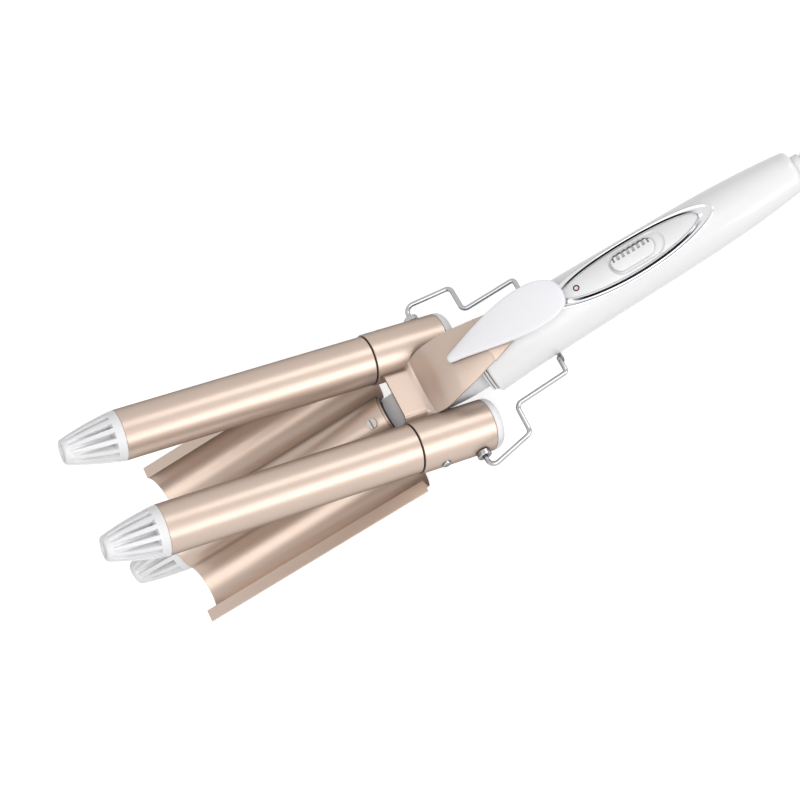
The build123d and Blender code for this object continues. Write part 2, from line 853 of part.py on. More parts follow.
# ---------------------------------------------------------------------------
# Handle
# ---------------------------------------------------------------------------

split_plane = base_top(handle_rise)
surface = handle_solid(0)
panel_floor = handle_solid(panel_depth)

with BuildPart() as handle_body:
    add(surface)
    front_rim = handle_body.edges().sort_by(Axis.X)[:1]
    tail_rim = handle_body.edges().sort_by(Axis.X)[-1:]
    fillet(front_rim, handle_front_round)
    fillet(tail_rim, handle_tail_round)

with BuildPart() as handle_cavity:
    add(handle_solid(handle_wall))
    split(bisect_by=base_section(handle_end - handle_tail_wall), keep=Keep.BOTTOM)


def upright(x, y=0.0):
    """Seat of a vertical boss, post or screw, on the joint between the shells."""
    return Plane(origin=base_point(x, y, handle_rise), x_dir=(1, 0, 0), z_dir=(0, 0, 1))


board_rear = board_front + board_length
peg_spots = [
    (x, sign * (board_width / 2 - board_post_edge))
    for x in (board_front + board_post_inset, board_rear - board_post_inset)
    for sign in sides.values()
]
board_top = board_height - handle_rise
board_middle = board_height - board_thickness / 2
tall = 2 * handle_outline[0][1]

with BuildPart() as top_posts:
    for x in shell_screw_stations:
        disc(upright(x), 0, tall, shell_boss_r)
    for x, y in peg_spots:
        disc(upright(x, y), board_top, tall, board_post_r)
        disc(upright(x, y), board_top - board_thickness, board_top, board_peg_r)
    add(panel_floor, mode=Mode.INTERSECT)

with BuildPart() as bottom_posts:
    for x in shell_screw_stations:
        disc(upright(x), -tall, 0, shell_boss_r)
    add(panel_floor, mode=Mode.INTERSECT)

# Places on the panel
panel_middle = panel_front + panel_length / 2
slot_length = stem_length + knob_travel + 2 * knob_gap
slot_width = stem_width + 2 * knob_gap
slot_middle = knob_station + knob_travel / 2


def oval_prism(length, width, inset=0.0, mode=Mode.ADD):
    """An oval on the panel's middle, taken in by an inset and carried through the handle's top."""
    with BuildSketch(base_top(handle_rise)) as outline:
        with Locations((panel_middle, 0)):
            Ellipse(length / 2 - inset, width / 2 - inset)
    extrude(outline.sketch, amount=tall, mode=mode)


def stem_slot():
    """The slot that the switch's stem slides in."""
    with BuildSketch(base_top(board_height + housing_wall)) as slot:
        with Locations((slot_middle, 0)):
            Rectangle(slot_length, slot_width)
    extrude(slot.sketch, amount=tall, mode=Mode.SUBTRACT)


with BuildPart() as panel_pocket:
    oval_prism(panel_length, panel_width)
    add(panel_floor, mode=Mode.SUBTRACT)

with BuildPart() as handle_top_shell:
    add(handle_body.part)
    split(bisect_by=split_plane, keep=Keep.TOP)
    add(handle_cavity.part, mode=Mode.SUBTRACT)
    add(top_posts.part)
    add(panel_pocket.part, mode=Mode.SUBTRACT)
    stem_slot()
    disc(upright(led_station), 0, tall, led_r, Mode.SUBTRACT)
    for x in shell_screw_stations:
        disc(upright(x), 0, shell_screw_length - shell_screw_depth, shell_screw_r, Mode.SUBTRACT)
    tail_seat = base_section(handle_end, handle_rise)
    disc(tail_seat, -handle_tail_wall, 0, relief_neck_r, Mode.SUBTRACT)
save(handle_top_shell, "handle_top_shell")

with BuildPart() as handle_bottom_shell:
    add(handle_body.part)
    split(bisect_by=split_plane, keep=Keep.BOTTOM)
    add(handle_cavity.part, mode=Mode.SUBTRACT)
    add(bottom_posts.part)
    for x in shell_screw_stations:
        disc(upright(x), -shell_screw_depth, 0, shell_screw_r, Mode.SUBTRACT)
        disc(upright(x), -tall, -shell_screw_depth, shell_screw_head_r, Mode.SUBTRACT)
    disc(tail_seat, -handle_tail_wall, 0, relief_neck_r, Mode.SUBTRACT)
save(handle_bottom_shell, "handle_bottom_shell")

with BuildPart() as handle_screws:
    for x in shell_screw_stations:
        disc(upright(x), -shell_screw_depth, shell_screw_length - shell_screw_depth, shell_screw_r)
        disc(upright(x), -shell_screw_depth - shell_screw_head, -shell_screw_depth, shell_screw_head_r)
        with BuildSketch(upright(x).offset(-shell_screw_depth - shell_screw_head)) as cross:
            Rectangle(3 * shell_screw_r, screw_slot)
            Rectangle(screw_slot, 3 * shell_screw_r)
        extrude(cross.sketch, amount=shell_screw_head / 2, mode=Mode.SUBTRACT)
save(handle_screws, "handle_screws")

# ---------------------------------------------------------------------------
# Neck and collar ring
# ---------------------------------------------------------------------------

neck_seat = base_section(-seam)
with BuildPart() as neck_plug_body:
    add(handle_cavity.part)
    split(bisect_by=base_section(handle_start + neck_plug), keep=Keep.BOTTOM)

with BuildPart() as neck:
    turn(
        neck_seat,
        [
            (-neck_spigot, 0),
            (-neck_spigot, neck_spigot_r),
            (0, neck_spigot_r),
            (0, neck_front_r),
            (seam + neck_cone_end, neck_rear_r),
            (seam + handle_start, neck_rear_r),
            (seam + handle_start, 0),
        ],
    )
    with BuildSketch(base_side()) as relief_cut:
        with BuildLine():
            Polyline(
                (-seam, neck_flat),
                (neck_flat_end, neck_flat),
                (neck_ramp_end, neck_rear_r),
                (neck_ramp_end, 2 * neck_rear_r),
                (-seam, 2 * neck_rear_r),
                close=True,
            )
        make_face()
    extrude(relief_cut.sketch, amount=2 * neck_rear_r, both=True, mode=Mode.SUBTRACT)
    with BuildSketch(base_top(-spring_slot_floor)) as spring_slot:
        with Locations(((spring_slot_rear - spring_slot_front) / 2, 0)):
            Rectangle(spring_slot_rear + spring_slot_front, spring_slot_width)
    extrude(spring_slot.sketch, amount=2 * neck_rear_r, mode=Mode.SUBTRACT)
    add(neck_plug_body.part)
    disc(pin_seat, -2 * neck_rear_r, 2 * neck_rear_r, pin_r + running_fit, Mode.SUBTRACT)
    lead_seat = base_section(0, -lead_bore_drop)
    disc(lead_seat, -seam - neck_spigot, handle_start + neck_plug, lead_bore_r, Mode.SUBTRACT)
save(neck, "neck")

with BuildPart() as collar_ring:
    with BuildSketch(base_section(ring_station, handle_rise)) as ring_outline:
        Ellipse(ring_r, ring_r - handle_flatten)
    extrude(ring_outline.sketch, amount=ring_length)
    fillet(collar_ring.edges().group_by(Axis.X)[0], ring_round)
    disc(base_section(0), ring_station, ring_station + ring_length, neck_rear_r, Mode.SUBTRACT)
save(collar_ring, "collar_ring")

# ---------------------------------------------------------------------------
# Control panel, light and switch
# ---------------------------------------------------------------------------

proud_surface = handle_solid(-trim_proud)
dish_floor = handle_solid(dish_depth)


def stadium_prism(x, length, width, mode):
    """A round-ended outline carried up through the handle's top."""
    with BuildSketch(base_top(handle_rise)) as outline:
        with Locations((x, 0)):
            SlotOverall(length, width)
    extrude(outline.sketch, amount=tall, mode=mode)


with BuildPart() as dish_cut:
    stadium_prism(slot_middle, dish_length, dish_width, Mode.ADD)
    add(dish_floor, mode=Mode.SUBTRACT)

with BuildPart() as inner_trim_groove:
    oval_prism(inner_trim_length, inner_trim_spread)
    oval_prism(inner_trim_length, inner_trim_spread, inner_trim_width, Mode.SUBTRACT)
    add(dish_floor, mode=Mode.SUBTRACT)

with BuildPart() as control_panel:
    oval_prism(inner_trim_length, inner_trim_spread)
    add(surface, mode=Mode.INTERSECT)
    add(panel_floor, mode=Mode.SUBTRACT)
    add(inner_trim_groove.part, mode=Mode.SUBTRACT)
    add(dish_cut.part, mode=Mode.SUBTRACT)
    stem_slot()
    disc(upright(led_station), 0, tall, led_ring_r, Mode.SUBTRACT)
save(control_panel, "control_panel")

with BuildPart() as bezel_step:
    oval_prism(panel_length, panel_width, trim_width)
    add(surface, mode=Mode.SUBTRACT)

with BuildPart() as panel_trim_outer:
    oval_prism(panel_length, panel_width)
    oval_prism(inner_trim_length, inner_trim_spread, mode=Mode.SUBTRACT)
    add(proud_surface, mode=Mode.INTERSECT)
    add(panel_floor, mode=Mode.SUBTRACT)
    add(bezel_step.part, mode=Mode.SUBTRACT)
save(panel_trim_outer, "panel_trim_outer")

with BuildPart() as panel_trim_inner:
    add(inner_trim_groove.part)
    add(proud_surface, mode=Mode.INTERSECT)
save(panel_trim_inner, "panel_trim_inner")

led_surface = half_width_at(led_station) - handle_flatten
with BuildPart() as indicator_ring:
    disc(upright(led_station), 0, led_surface + led_ring_proud, led_ring_r)
    add(panel_floor, mode=Mode.SUBTRACT)
    disc(upright(led_station), 0, tall, led_r, Mode.SUBTRACT)
save(indicator_ring, "indicator_ring")

with BuildPart() as indicator_led:
    disc(upright(led_station), board_top, led_surface, led_r)
save(indicator_led, "indicator_led")

knob_floor = handle_solid(dish_depth - knob_gap)
knob_crown = handle_solid(-knob_proud)
with BuildPart() as switch_knob:
    stadium_prism(knob_station, knob_length, knob_width, Mode.ADD)
    add(knob_crown, mode=Mode.INTERSECT)
    add(knob_floor, mode=Mode.SUBTRACT)
    for rib in range(knob_ribs + 1):
        x = knob_station + (rib - knob_ribs / 2) * knob_rib_pitch
        with BuildSketch(base_top(half_width_at(x) - handle_flatten + handle_rise)) as rib_groove:
            with Locations((x, knob_rib_middle)):
                Rectangle(knob_rib_pitch / 2, knob_rib_length)
        extrude(rib_groove.sketch, amount=tall, mode=Mode.SUBTRACT)
    with BuildSketch(base_top(board_height + 2 * housing_wall)) as stem:
        with Locations((knob_station, 0)):
            Rectangle(stem_length, stem_width)
    extrude(stem.sketch, until=Until.NEXT)
save(switch_knob, "switch_knob")

with BuildPart() as switch_housing:
    with BuildSketch(base_top(board_height)) as housing:
        with Locations((slot_middle, 0)):
            Rectangle(housing_length, housing_width)
    extrude(housing.sketch, amount=housing_height)
    stem_slot()
save(switch_housing, "switch_housing")

with BuildPart() as circuit_board:
    with BuildSketch(base_top(board_height - board_thickness)) as board:
        with Locations((board_front + board_length / 2, 0)):
            Rectangle(board_length, board_width)
    extrude(board.sketch, amount=board_thickness)
    for x, y in peg_spots:
        disc(upright(x, y), -tall, board_top, board_peg_r, Mode.SUBTRACT)
save(circuit_board, "circuit_board")

# ---------------------------------------------------------------------------
# Strain relief and the wires inside
# ---------------------------------------------------------------------------

relief_seat = base_section(handle_end, handle_rise)
ring_pitch = (relief_length - relief_collar) / relief_rings
relief_outline = [
    (-handle_tail_wall - relief_flange, 0),
    (-handle_tail_wall - relief_flange, relief_flange_r),
    (-handle_tail_wall, relief_flange_r),
    (-handle_tail_wall, relief_neck_r),
    (0, relief_neck_r),
    (0, relief_r),
    (relief_collar, relief_r),
]
for ring in range(relief_rings):
    start = relief_collar + ring * ring_pitch
    shrink = (relief_r - relief_tip_r) / relief_rings
    outer = relief_r - shrink * (ring + 1)
    relief_outline += [
        (start, outer - relief_groove),
        (start + 0.35 * ring_pitch, outer - relief_groove),
        (start + 0.35 * ring_pitch, outer),
        (start + ring_pitch, outer),
    ]
relief_outline += [(relief_length, 0)]
with BuildPart() as strain_relief:
    turn(relief_seat, relief_outline)
save(strain_relief, "strain_relief")


def wire_along(points, radius, bend):
    """A round wire through points, with rounded bends."""
    with BuildLine() as line:
        FilletPolyline(*points, radius=bend)
    with BuildSketch(Plane(origin=line.line @ 0, z_dir=line.line % 0)) as section:
        Circle(radius)
    sweep(section.sketch, path=line.line)


relief_inner = handle_end - handle_tail_wall - relief_flange
stub_end = relief_inner - stub_length
with BuildPart() as power_leads:
    disc(base_section(0, handle_rise), stub_end, relief_inner, cord_r)
    for sign in sides.values():
        y = sign * cord_r / 2
        wire_along(
            [
                base_point(stub_end + lead_r, y, handle_rise),
                base_point(stub_end - lead_bend, sign * lead_spread, handle_rise),
                base_point(board_rear + 2 * lead_bend, sign * lead_spread, board_middle),
                base_point(board_rear, sign * lead_spread, board_middle),
            ],
            lead_r,
            lead_bend / 2,
        )
save(power_leads, "power_leads")

with BuildPart() as cord_clamp:
    add(handle_cavity.part)
    split(bisect_by=split_plane, keep=Keep.BOTTOM)
    split(bisect_by=base_section(clamp_station), keep=Keep.TOP)
    split(bisect_by=base_section(clamp_station + clamp_length), keep=Keep.BOTTOM)
    disc(base_section(0, handle_rise), stub_end, relief_inner, cord_r, Mode.SUBTRACT)
save(cord_clamp, "cord_clamp")

plug_face = handle_start + neck_plug
with BuildPart() as heater_leads:
    wire_along(
        [
            base_point(board_front, lead_spread, board_middle),
            base_point(board_front - 2 * lead_bend, lead_spread, board_middle),
            base_point(plug_face + 3 * lead_bend, lead_spread, -lead_bore_drop),
            base_point(plug_face + lead_bend, 0, -lead_bore_drop),
            base_point(-seam - neck_spigot - lead_bend / 2, 0, -lead_bore_drop),
            base_point(-seam - base_depth - lead_bend / 2, 0, 0),
            base_point(-seam - base_depth - heater_margin, 0, 0),
        ],
        neck_lead_r,
        lead_bend / 2,
    )
save(heater_leads, "heater_leads")

# ---------------------------------------------------------------------------
# Cord, its coil and its plug
# ---------------------------------------------------------------------------


def cord_point(x, y, height):
    """A point from the strain relief's end and the floor."""
    return Vector(hinge.X + relief_end + x, y, height)


def bend_radii(points):
    """One radius for each bend: as large as the two runs beside it allow."""
    radii = []
    for before, corner, after in zip(points, points[1:], points[2:]):
        first = corner - before
        second = after - corner
        turn_angle = radians(first.get_angle(second))
        radii.append(bend_share * min(first.length, second.length) / tan(turn_angle / 2))
    return radii


def cord_tube(points):
    """A length of cord along straight runs and tangent arcs; returns the length."""
    radii = bend_radii(points)
    with BuildLine() as route:
        FilletPolyline(*points, radius=radii)
    with BuildSketch(Plane(origin=route.line @ 0, z_dir=route.line % 0)) as section:
        Circle(cord_r)
    sweep(section.sketch, path=route.line)
    length = route.wire().length
    print("bend radii", [round(radius, 1) for radius in radii], "length", round(length, 1))
    return length


cord_start = base_point(relief_end, 0, handle_rise)
cord_straight_end = base_point(relief_end + cord_straight, 0, handle_rise)
with BuildPart() as cord:
    cord_length = cord_tube([cord_start, cord_straight_end] + [cord_point(*spot) for spot in cord_route])
save(cord, "cord")

with BuildPart() as cord_tail:
    tail_length = cord_tube([cord_point(*spot) for spot in tail_route])
save(cord_tail, "cord_tail")

for piece, length in ((cord, cord_length), (cord_tail, tail_length)):
    print("cord volume over section times length:", round(piece.part.volume / (pi * cord_r**2 * length), 4))

coil_centre = cord_point(coil_x, coil_y, 0)
coil_middle_height = tie_thickness + coil_height / 2
with BuildPart() as cord_coil:
    with BuildSketch(Plane(origin=coil_centre, x_dir=(1, 0, 0), z_dir=(0, -1, 0))) as coil_section:
        with Locations((coil_r, coil_middle_height)):
            RectangleRounded(coil_width, coil_height, coil_round)
    revolve(coil_section.sketch, axis=Axis(coil_centre, (0, 0, 1)))
save(cord_coil, "cord_coil")

with BuildPart() as cord_tie:
    with BuildSketch(Plane(origin=coil_centre, x_dir=(1, 0, 0), z_dir=(0, -1, 0))) as tie_section:
        with Locations((coil_r, coil_middle_height)):
            RectangleRounded(
                coil_width + 2 * tie_thickness, coil_height + 2 * tie_thickness, coil_round + tie_thickness
            )
    extrude(tie_section.sketch, amount=tie_width / 2, both=True)
    add(cord_coil.part, mode=Mode.SUBTRACT)
save(cord_tie, "cord_tie")

plug_x, plug_y, plug_z = tail_route[-1]
plug_seat = Plane(origin=cord_point(plug_x, plug_y, plug_z), x_dir=across, z_dir=(-1, 0, 0))
with BuildPart() as plug_body:
    with BuildSketch(plug_seat.offset(plug_neck)) as plug_section:
        Rectangle(plug_width, plug_height)
    extrude(plug_section.sketch, amount=plug_length)
    fillet(plug_body.edges().filter_by(Axis.X), plug_round)
    fillet(plug_body.faces().sort_by(Axis.X)[-1].edges(), plug_round / 2)
    disc(plug_seat, 0, plug_neck + plug_round, plug_neck_r)
save(plug_body, "plug_body")

with BuildPart() as plug_pins:
    for sign in sides.values():
        centre = plug_seat.origin + across * (sign * plug_pin_spacing / 2)
        pin_face = Plane(origin=centre, x_dir=across, z_dir=(-1, 0, 0)).offset(plug_neck + plug_length)
        disc(pin_face, 0, plug_pin_length, plug_pin_r)
save(plug_pins, "plug_pins")
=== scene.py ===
"""Hair waver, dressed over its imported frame. Lengths are in millimetres until a point is placed."""
import json
from math import acos, asin, cos, pi, radians, sin, sqrt

import bmesh
import bpy
from mathutils import Matrix, Vector

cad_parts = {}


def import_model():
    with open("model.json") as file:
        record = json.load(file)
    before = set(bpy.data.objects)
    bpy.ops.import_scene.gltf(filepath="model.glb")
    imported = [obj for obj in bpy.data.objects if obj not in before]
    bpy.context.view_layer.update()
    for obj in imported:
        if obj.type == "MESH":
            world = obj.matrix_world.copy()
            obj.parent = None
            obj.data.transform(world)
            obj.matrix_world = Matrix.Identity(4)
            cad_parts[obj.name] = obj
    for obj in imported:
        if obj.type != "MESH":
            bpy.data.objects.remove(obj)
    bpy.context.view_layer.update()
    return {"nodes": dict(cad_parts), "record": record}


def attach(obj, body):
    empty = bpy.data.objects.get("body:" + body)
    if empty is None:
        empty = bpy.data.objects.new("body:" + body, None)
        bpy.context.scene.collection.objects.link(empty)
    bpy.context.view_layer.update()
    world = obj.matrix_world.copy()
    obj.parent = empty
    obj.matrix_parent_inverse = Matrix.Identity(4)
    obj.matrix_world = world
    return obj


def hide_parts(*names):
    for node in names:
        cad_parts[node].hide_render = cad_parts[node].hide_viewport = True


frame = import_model()

# ---- Places ----

MM = 0.001
joints = {joint["name"]: joint for joint in frame["record"]["behaviour"]["joints"]}
HINGE = Vector(joints["jaw_hinge"]["pos_m"])
OPEN = radians(33.0)  # the jaw rests pressed open by this angle
ALONG = Vector((cos(OPEN), 0, -sin(OPEN)))
UP = Vector((sin(OPEN), 0, cos(OPEN)))
ACROSS = Vector((0, 1, 0))
SIDES = {"left": -1, "right": 1}

BARREL_R = 12.5
BARREL_SPACING = 27.0
JAW_RISE = 1.0
SEAM = 25.5
SEAM_GAP = 0.4
SLEEVE_R = 13.25
SLEEVE_WALL = 1.2
SLEEVE_REAR = 15.0


def base(x, y, z):
    """A point of the handle's body, from its place relative to the hinge."""
    return HINGE + Vector((x, y, z)) * MM


def jaw(x, y, z):
    """A point of the jaw, from its place relative to the hinge with the jaw closed."""
    return HINGE + (ALONG * x + ACROSS * y + UP * z) * MM


# ---- Numbers and curves ----


def smooth_step(value):
    value = min(max(value, 0.0), 1.0)
    return value * value * (3 - 2 * value)


def signed_power(value, power):
    """A power of the value's size, with the value's sign kept."""
    return abs(value) ** power * (1 if value >= 0 else -1)


def steps(start, end, count):
    return [start + (end - start) * index / count for index in range(count + 1)]


def turns(count):
    """The angles of a full circle, without its end."""
    return steps(0, 2 * pi, count)[:-1]


def between(table, x):
    """A smooth curve through the rows of a table, read at x: the rows' other values there."""
    last = len(table) - 1
    index = 0
    while index < last - 1 and x > table[index + 1][0]:
        index += 1
    rows = [table[max(index - 1, 0)], table[index], table[index + 1], table[min(index + 2, last)]]
    span = rows[2][0] - rows[1][0]
    t = min(max((x - rows[1][0]) / span, 0.0), 1.0)
    values = []
    for column in range(1, len(table[0])):
        before, start, end, after = (row[column] for row in rows)
        slope_in = (end - before) / max(rows[2][0] - rows[0][0], 1e-6) * span
        slope_out = (after - start) / max(rows[3][0] - rows[1][0], 1e-6) * span
        values.append(
            (2 * t**3 - 3 * t**2 + 1) * start
            + (t**3 - 2 * t**2 + t) * slope_in
            + (3 * t**2 - 2 * t**3) * end
            + (t**3 - t**2) * slope_out
        )
    return values


BEND_SHARE = 0.49  # the most of a straight that one bend may take


def bent(points, radii, count):
    """The points of a path whose corners are rounded, each to its own radius, as in a bent wire."""
    path = [points[0]]
    for before, corner, after, radius in zip(points, points[1:], points[2:], radii):
        inward = (before - corner).normalized()
        outward = (after - corner).normalized()
        half = inward.angle(outward) / 2
        slope = max(sin(half) / cos(half), 1e-6)
        straight = min((before - corner).length, (after - corner).length)
        reach = min(radius * MM / slope, straight * BEND_SHARE)
        centre = corner + (inward + outward).normalized() * (reach * slope / sin(half))
        start = corner + inward * reach - centre
        sweep = pi - 2 * half
        normal = inward.cross(outward).normalized()
        for step in range(count + 1):
            path.append(centre + Matrix.Rotation(-sweep * step / count, 3, normal) @ start)
    path.append(points[-1])
    return path


# ---- Meshes ----


def skin(rows, looped=False, capped=False):
    """Faces over rows of points; looped rows close on themselves, capped rows get end faces."""
    width = len(rows[0])
    points = [point for row in rows for point in row]
    faces = []
    for row in range(len(rows) - 1):
        for column in range(width if looped else width - 1):
            a = row * width + column
            b = row * width + (column + 1) % width
            faces.append((a, b, b + width, a + width))
    if capped:
        faces.append(tuple(reversed(range(width))))
        faces.append(tuple(range(len(points) - width, len(points))))
    return points, faces


def sheet_metal(rows, thickness, facing):
    """A closed sheet over rows of points, thickened away from the side it faces."""
    under = []
    for index, row in enumerate(rows):
        before = rows[max(index - 1, 0)]
        after = rows[min(index + 1, len(rows) - 1)]
        line = []
        for column, point in enumerate(row):
            along = after[column] - before[column]
            sideways = row[min(column + 1, len(row) - 1)] - row[max(column - 1, 0)]
            normal = along.cross(sideways).normalized()
            if normal.dot(facing) < 0:
                normal = -normal
            line.append(point - normal * thickness * MM)
        under.append(line)
    loops = [row + list(reversed(line)) for row, line in zip(rows, under)]
    return skin(loops, looped=True, capped=True)


def turner(origin, axis, side):
    """A function that places a point by its distance along an axis, its radius and its turn."""
    other = axis.cross(side)

    def place(distance, radius, turn):
        return origin + (axis * distance + (side * cos(turn) + other * sin(turn)) * radius) * MM

    return place


def lathe(origin, axis, outline, count):
    """A closed outline of (distance along the axis, radius), turned about the axis."""
    axis = Vector(axis).normalized()
    place = turner(origin, axis, axis.orthogonal().normalized())
    rows = [
        [place(distance, radius, turn) for turn in turns(count)]
        for distance, radius in outline + outline[:1]
    ]
    return skin(rows, looped=True)


def dress(piece, material, body, nodes):
    """Give a piece its finish, ride it on its body and let it stand for CAD nodes."""
    bpy.context.collection.objects.link(piece)
    piece.data.materials.append(material)
    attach(piece, body)
    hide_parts(*nodes)


def build(name, shapes, material, body, nodes, bevel=0.0, sharp=40.0, thickness=0.0):
    """One dressed object from (points, faces) shapes, with smooth faces but for its sharp edges."""
    mesh = bpy.data.meshes.new(name)
    shape = bmesh.new()
    for points, faces in shapes:
        corners = [shape.verts.new(point) for point in points]
        for face in faces:
            shape.faces.new([corners[index] for index in face])
    bmesh.ops.remove_doubles(shape, verts=shape.verts, dist=1e-6)
    bmesh.ops.dissolve_degenerate(shape, edges=shape.edges, dist=1e-7)
    bmesh.ops.recalc_face_normals(shape, faces=shape.faces)
    shape.to_mesh(mesh)
    shape.free()
    mesh.shade_smooth()
    mesh.set_sharp_from_angle(angle=radians(sharp))
    piece = bpy.data.objects.new(name, mesh)
    if thickness:
        solid = piece.modifiers.new("thickness", "SOLIDIFY")
        solid.thickness = thickness * MM
        solid.offset = -1
        solid.use_even_offset = True
    if bevel:
        rounding = piece.modifiers.new("rounding", "BEVEL")
        rounding.width = bevel * MM
        rounding.segments = 3
        rounding.limit_method = "ANGLE"
        rounding.angle_limit = radians(sharp)
        rounding.harden_normals = True
    dress(piece, material, body, nodes)
    return piece


def round_curve(name, kind, points, radius, roundness):
    """An undressed curve object with a round section through points, and its spline."""
    curve = bpy.data.curves.new(name, "CURVE")
    curve.dimensions = "3D"
    curve.bevel_depth = radius * MM
    curve.bevel_resolution = roundness
    spline = curve.splines.new(kind)
    spline.points.add(len(points) - 1)
    for spot, point in zip(spline.points, points):
        spot.co = (*point, 1)
    return bpy.data.objects.new(name, curve), spline


# ---- Material helpers ----

MOTTLE_SCALE = 60.0
COAT_ROUGHNESS = 0.1
GRAIN_HEIGHT = 0.0003  # metres
THREAD_HEIGHT = 0.0004  # metres
PAINTED_SHADE_OPEN = 0.95  # the share of open sky at which a surface keeps its full colour; with less open sky its colour is darkened as painted shade
PAINTED_SHADE_SHUT = 0.25


def feed(tree, node, inputs):
    """Set a node's sockets to plain values, or link them to the sockets that feed them."""
    for socket, value in inputs.items():
        if isinstance(value, bpy.types.NodeSocket):
            tree.links.new(value, node.inputs[socket])
        else:
            node.inputs[socket].default_value = value


def add(tree, kind, inputs, **settings):
    """A new shader node with its settings and inputs."""
    node = tree.nodes.new("ShaderNode" + kind)
    for name, value in settings.items():
        setattr(node, name, value)
    feed(tree, node, inputs)
    return node


def reckon(tree, operation, *values):
    """The result of a maths node over sockets and plain numbers."""
    return add(tree, "Math", dict(enumerate(values)), operation=operation).outputs[0]


def share_between(tree, value, start, end):
    """A value's share of the way from start to end, kept between 0 and 1."""
    return add(tree, "MapRange", {"Value": value, "From Min": start, "From Max": end}).outputs[0]


def surface(
    slot,
    colour,
    metallic=0.0,
    roughness=0.45,
    grain=900.0,
    bump=0.05,
    stretch=(1, 1, 1),
    mottle=0.04,
    wear=0.06,
    coat=0.0,
    sheen=0.0,
    edge=1.0,
    painted_shade=0.0,
    painted_shade_reach=2.0,
):
    """A finish with its own grain, a mottled colour, uneven gloss and painted shade in its hollows.
    """
    material = bpy.data.materials.new(slot)
    material.use_nodes = True
    material["slot"] = slot
    tree = material.node_tree

    place = add(tree, "TexCoord", {}).outputs["Object"]
    spot = add(tree, "Mapping", {"Vector": place, "Scale": stretch}).outputs["Vector"]
    patches = add(tree, "TexNoise", {"Vector": spot, "Scale": MOTTLE_SCALE, "Detail": 5})
    darker = [channel * (1 - mottle) for channel in colour]
    lighter = [min(channel * (1 + mottle), 1) for channel in colour]
    tint = {"Factor": patches.outputs["Fac"], "A": (*darker, 1), "B": (*lighter, 1)}
    base_colour = add(tree, "Mix", tint, data_type="RGBA").outputs["Result"]
    # painted shade: the base colour darkens where ambient occlusion finds the surface hemmed in
    if painted_shade:
        open_sky = add(tree, "AmbientOcclusion", {"Distance": painted_shade_reach * MM}, samples=8)
        shade = add(tree, "MapRange", {
            "Value": open_sky.outputs["AO"],
            "From Min": PAINTED_SHADE_SHUT,
            "From Max": PAINTED_SHADE_OPEN,
            "To Min": 1.0 - painted_shade,
            "To Max": 1.0,
        })
        shaded = {0: base_colour, "Scale": shade.outputs["Result"]}
        base_colour = add(tree, "VectorMath", shaded, operation="SCALE").outputs["Vector"]

    fine = add(tree, "TexNoise", {"Vector": spot, "Scale": grain, "Detail": 3}).outputs["Fac"]
    gloss = add(tree, "MapRange", {
        "Value": fine,
        "To Min": max(roughness - wear, 0.02),
        "To Max": min(roughness + wear, 1.0),
    })
    relief = add(tree, "Bump", {"Strength": bump, "Distance": GRAIN_HEIGHT, "Height": fine})
    feed(tree, tree.nodes["Principled BSDF"], {
        "Base Color": base_colour,
        "Metallic": metallic,
        "Roughness": gloss.outputs["Result"],
        "Normal": relief.outputs["Normal"],
        "Coat Weight": coat,
        "Coat Roughness": COAT_ROUGHNESS,
        "Sheen Weight": sheen,
        "Specular Tint": (edge, edge, edge, 1),
    })
    return material


def weave(slot, colour, scale):
    """A woven strip or sleeving: crossing threads in the relief."""
    material = surface(slot, colour, roughness=0.8, grain=700.0, bump=0.3, sheen=0.3)
    tree = material.node_tree
    place = add(tree, "TexCoord", {}).outputs["Object"]
    threads = []
    for direction in ("X", "Z"):
        waves = {"Vector": place, "Scale": scale}
        threads.append(add(tree, "TexWave", waves, bands_direction=direction).outputs["Fac"])
    crossing = reckon(tree, "MULTIPLY", *threads)
    relief = add(tree, "Bump", {"Strength": 0.6, "Distance": THREAD_HEIGHT, "Height": crossing})
    feed(tree, tree.nodes["Principled BSDF"], {"Normal": relief.outputs["Normal"]})
    return material


# A painted dark reflection along the surround's cove. Its reach is 0 in the middle and 1 at the
# surround's rim.
COVE_STARTS = (0.735, 0.765)
COVE_STOPS = (0.89, 0.86)
COVE_SHIFT = 0.085  # inward, along the front
COVE_FRONT = (0.0, 0.3)
COVE_ENDS = (0.2, 0.5)  # it fades towards the surround's ends over these places across
PAINTED_COVE_REFLECTION = (0.012, 0.012, 0.013, 1)


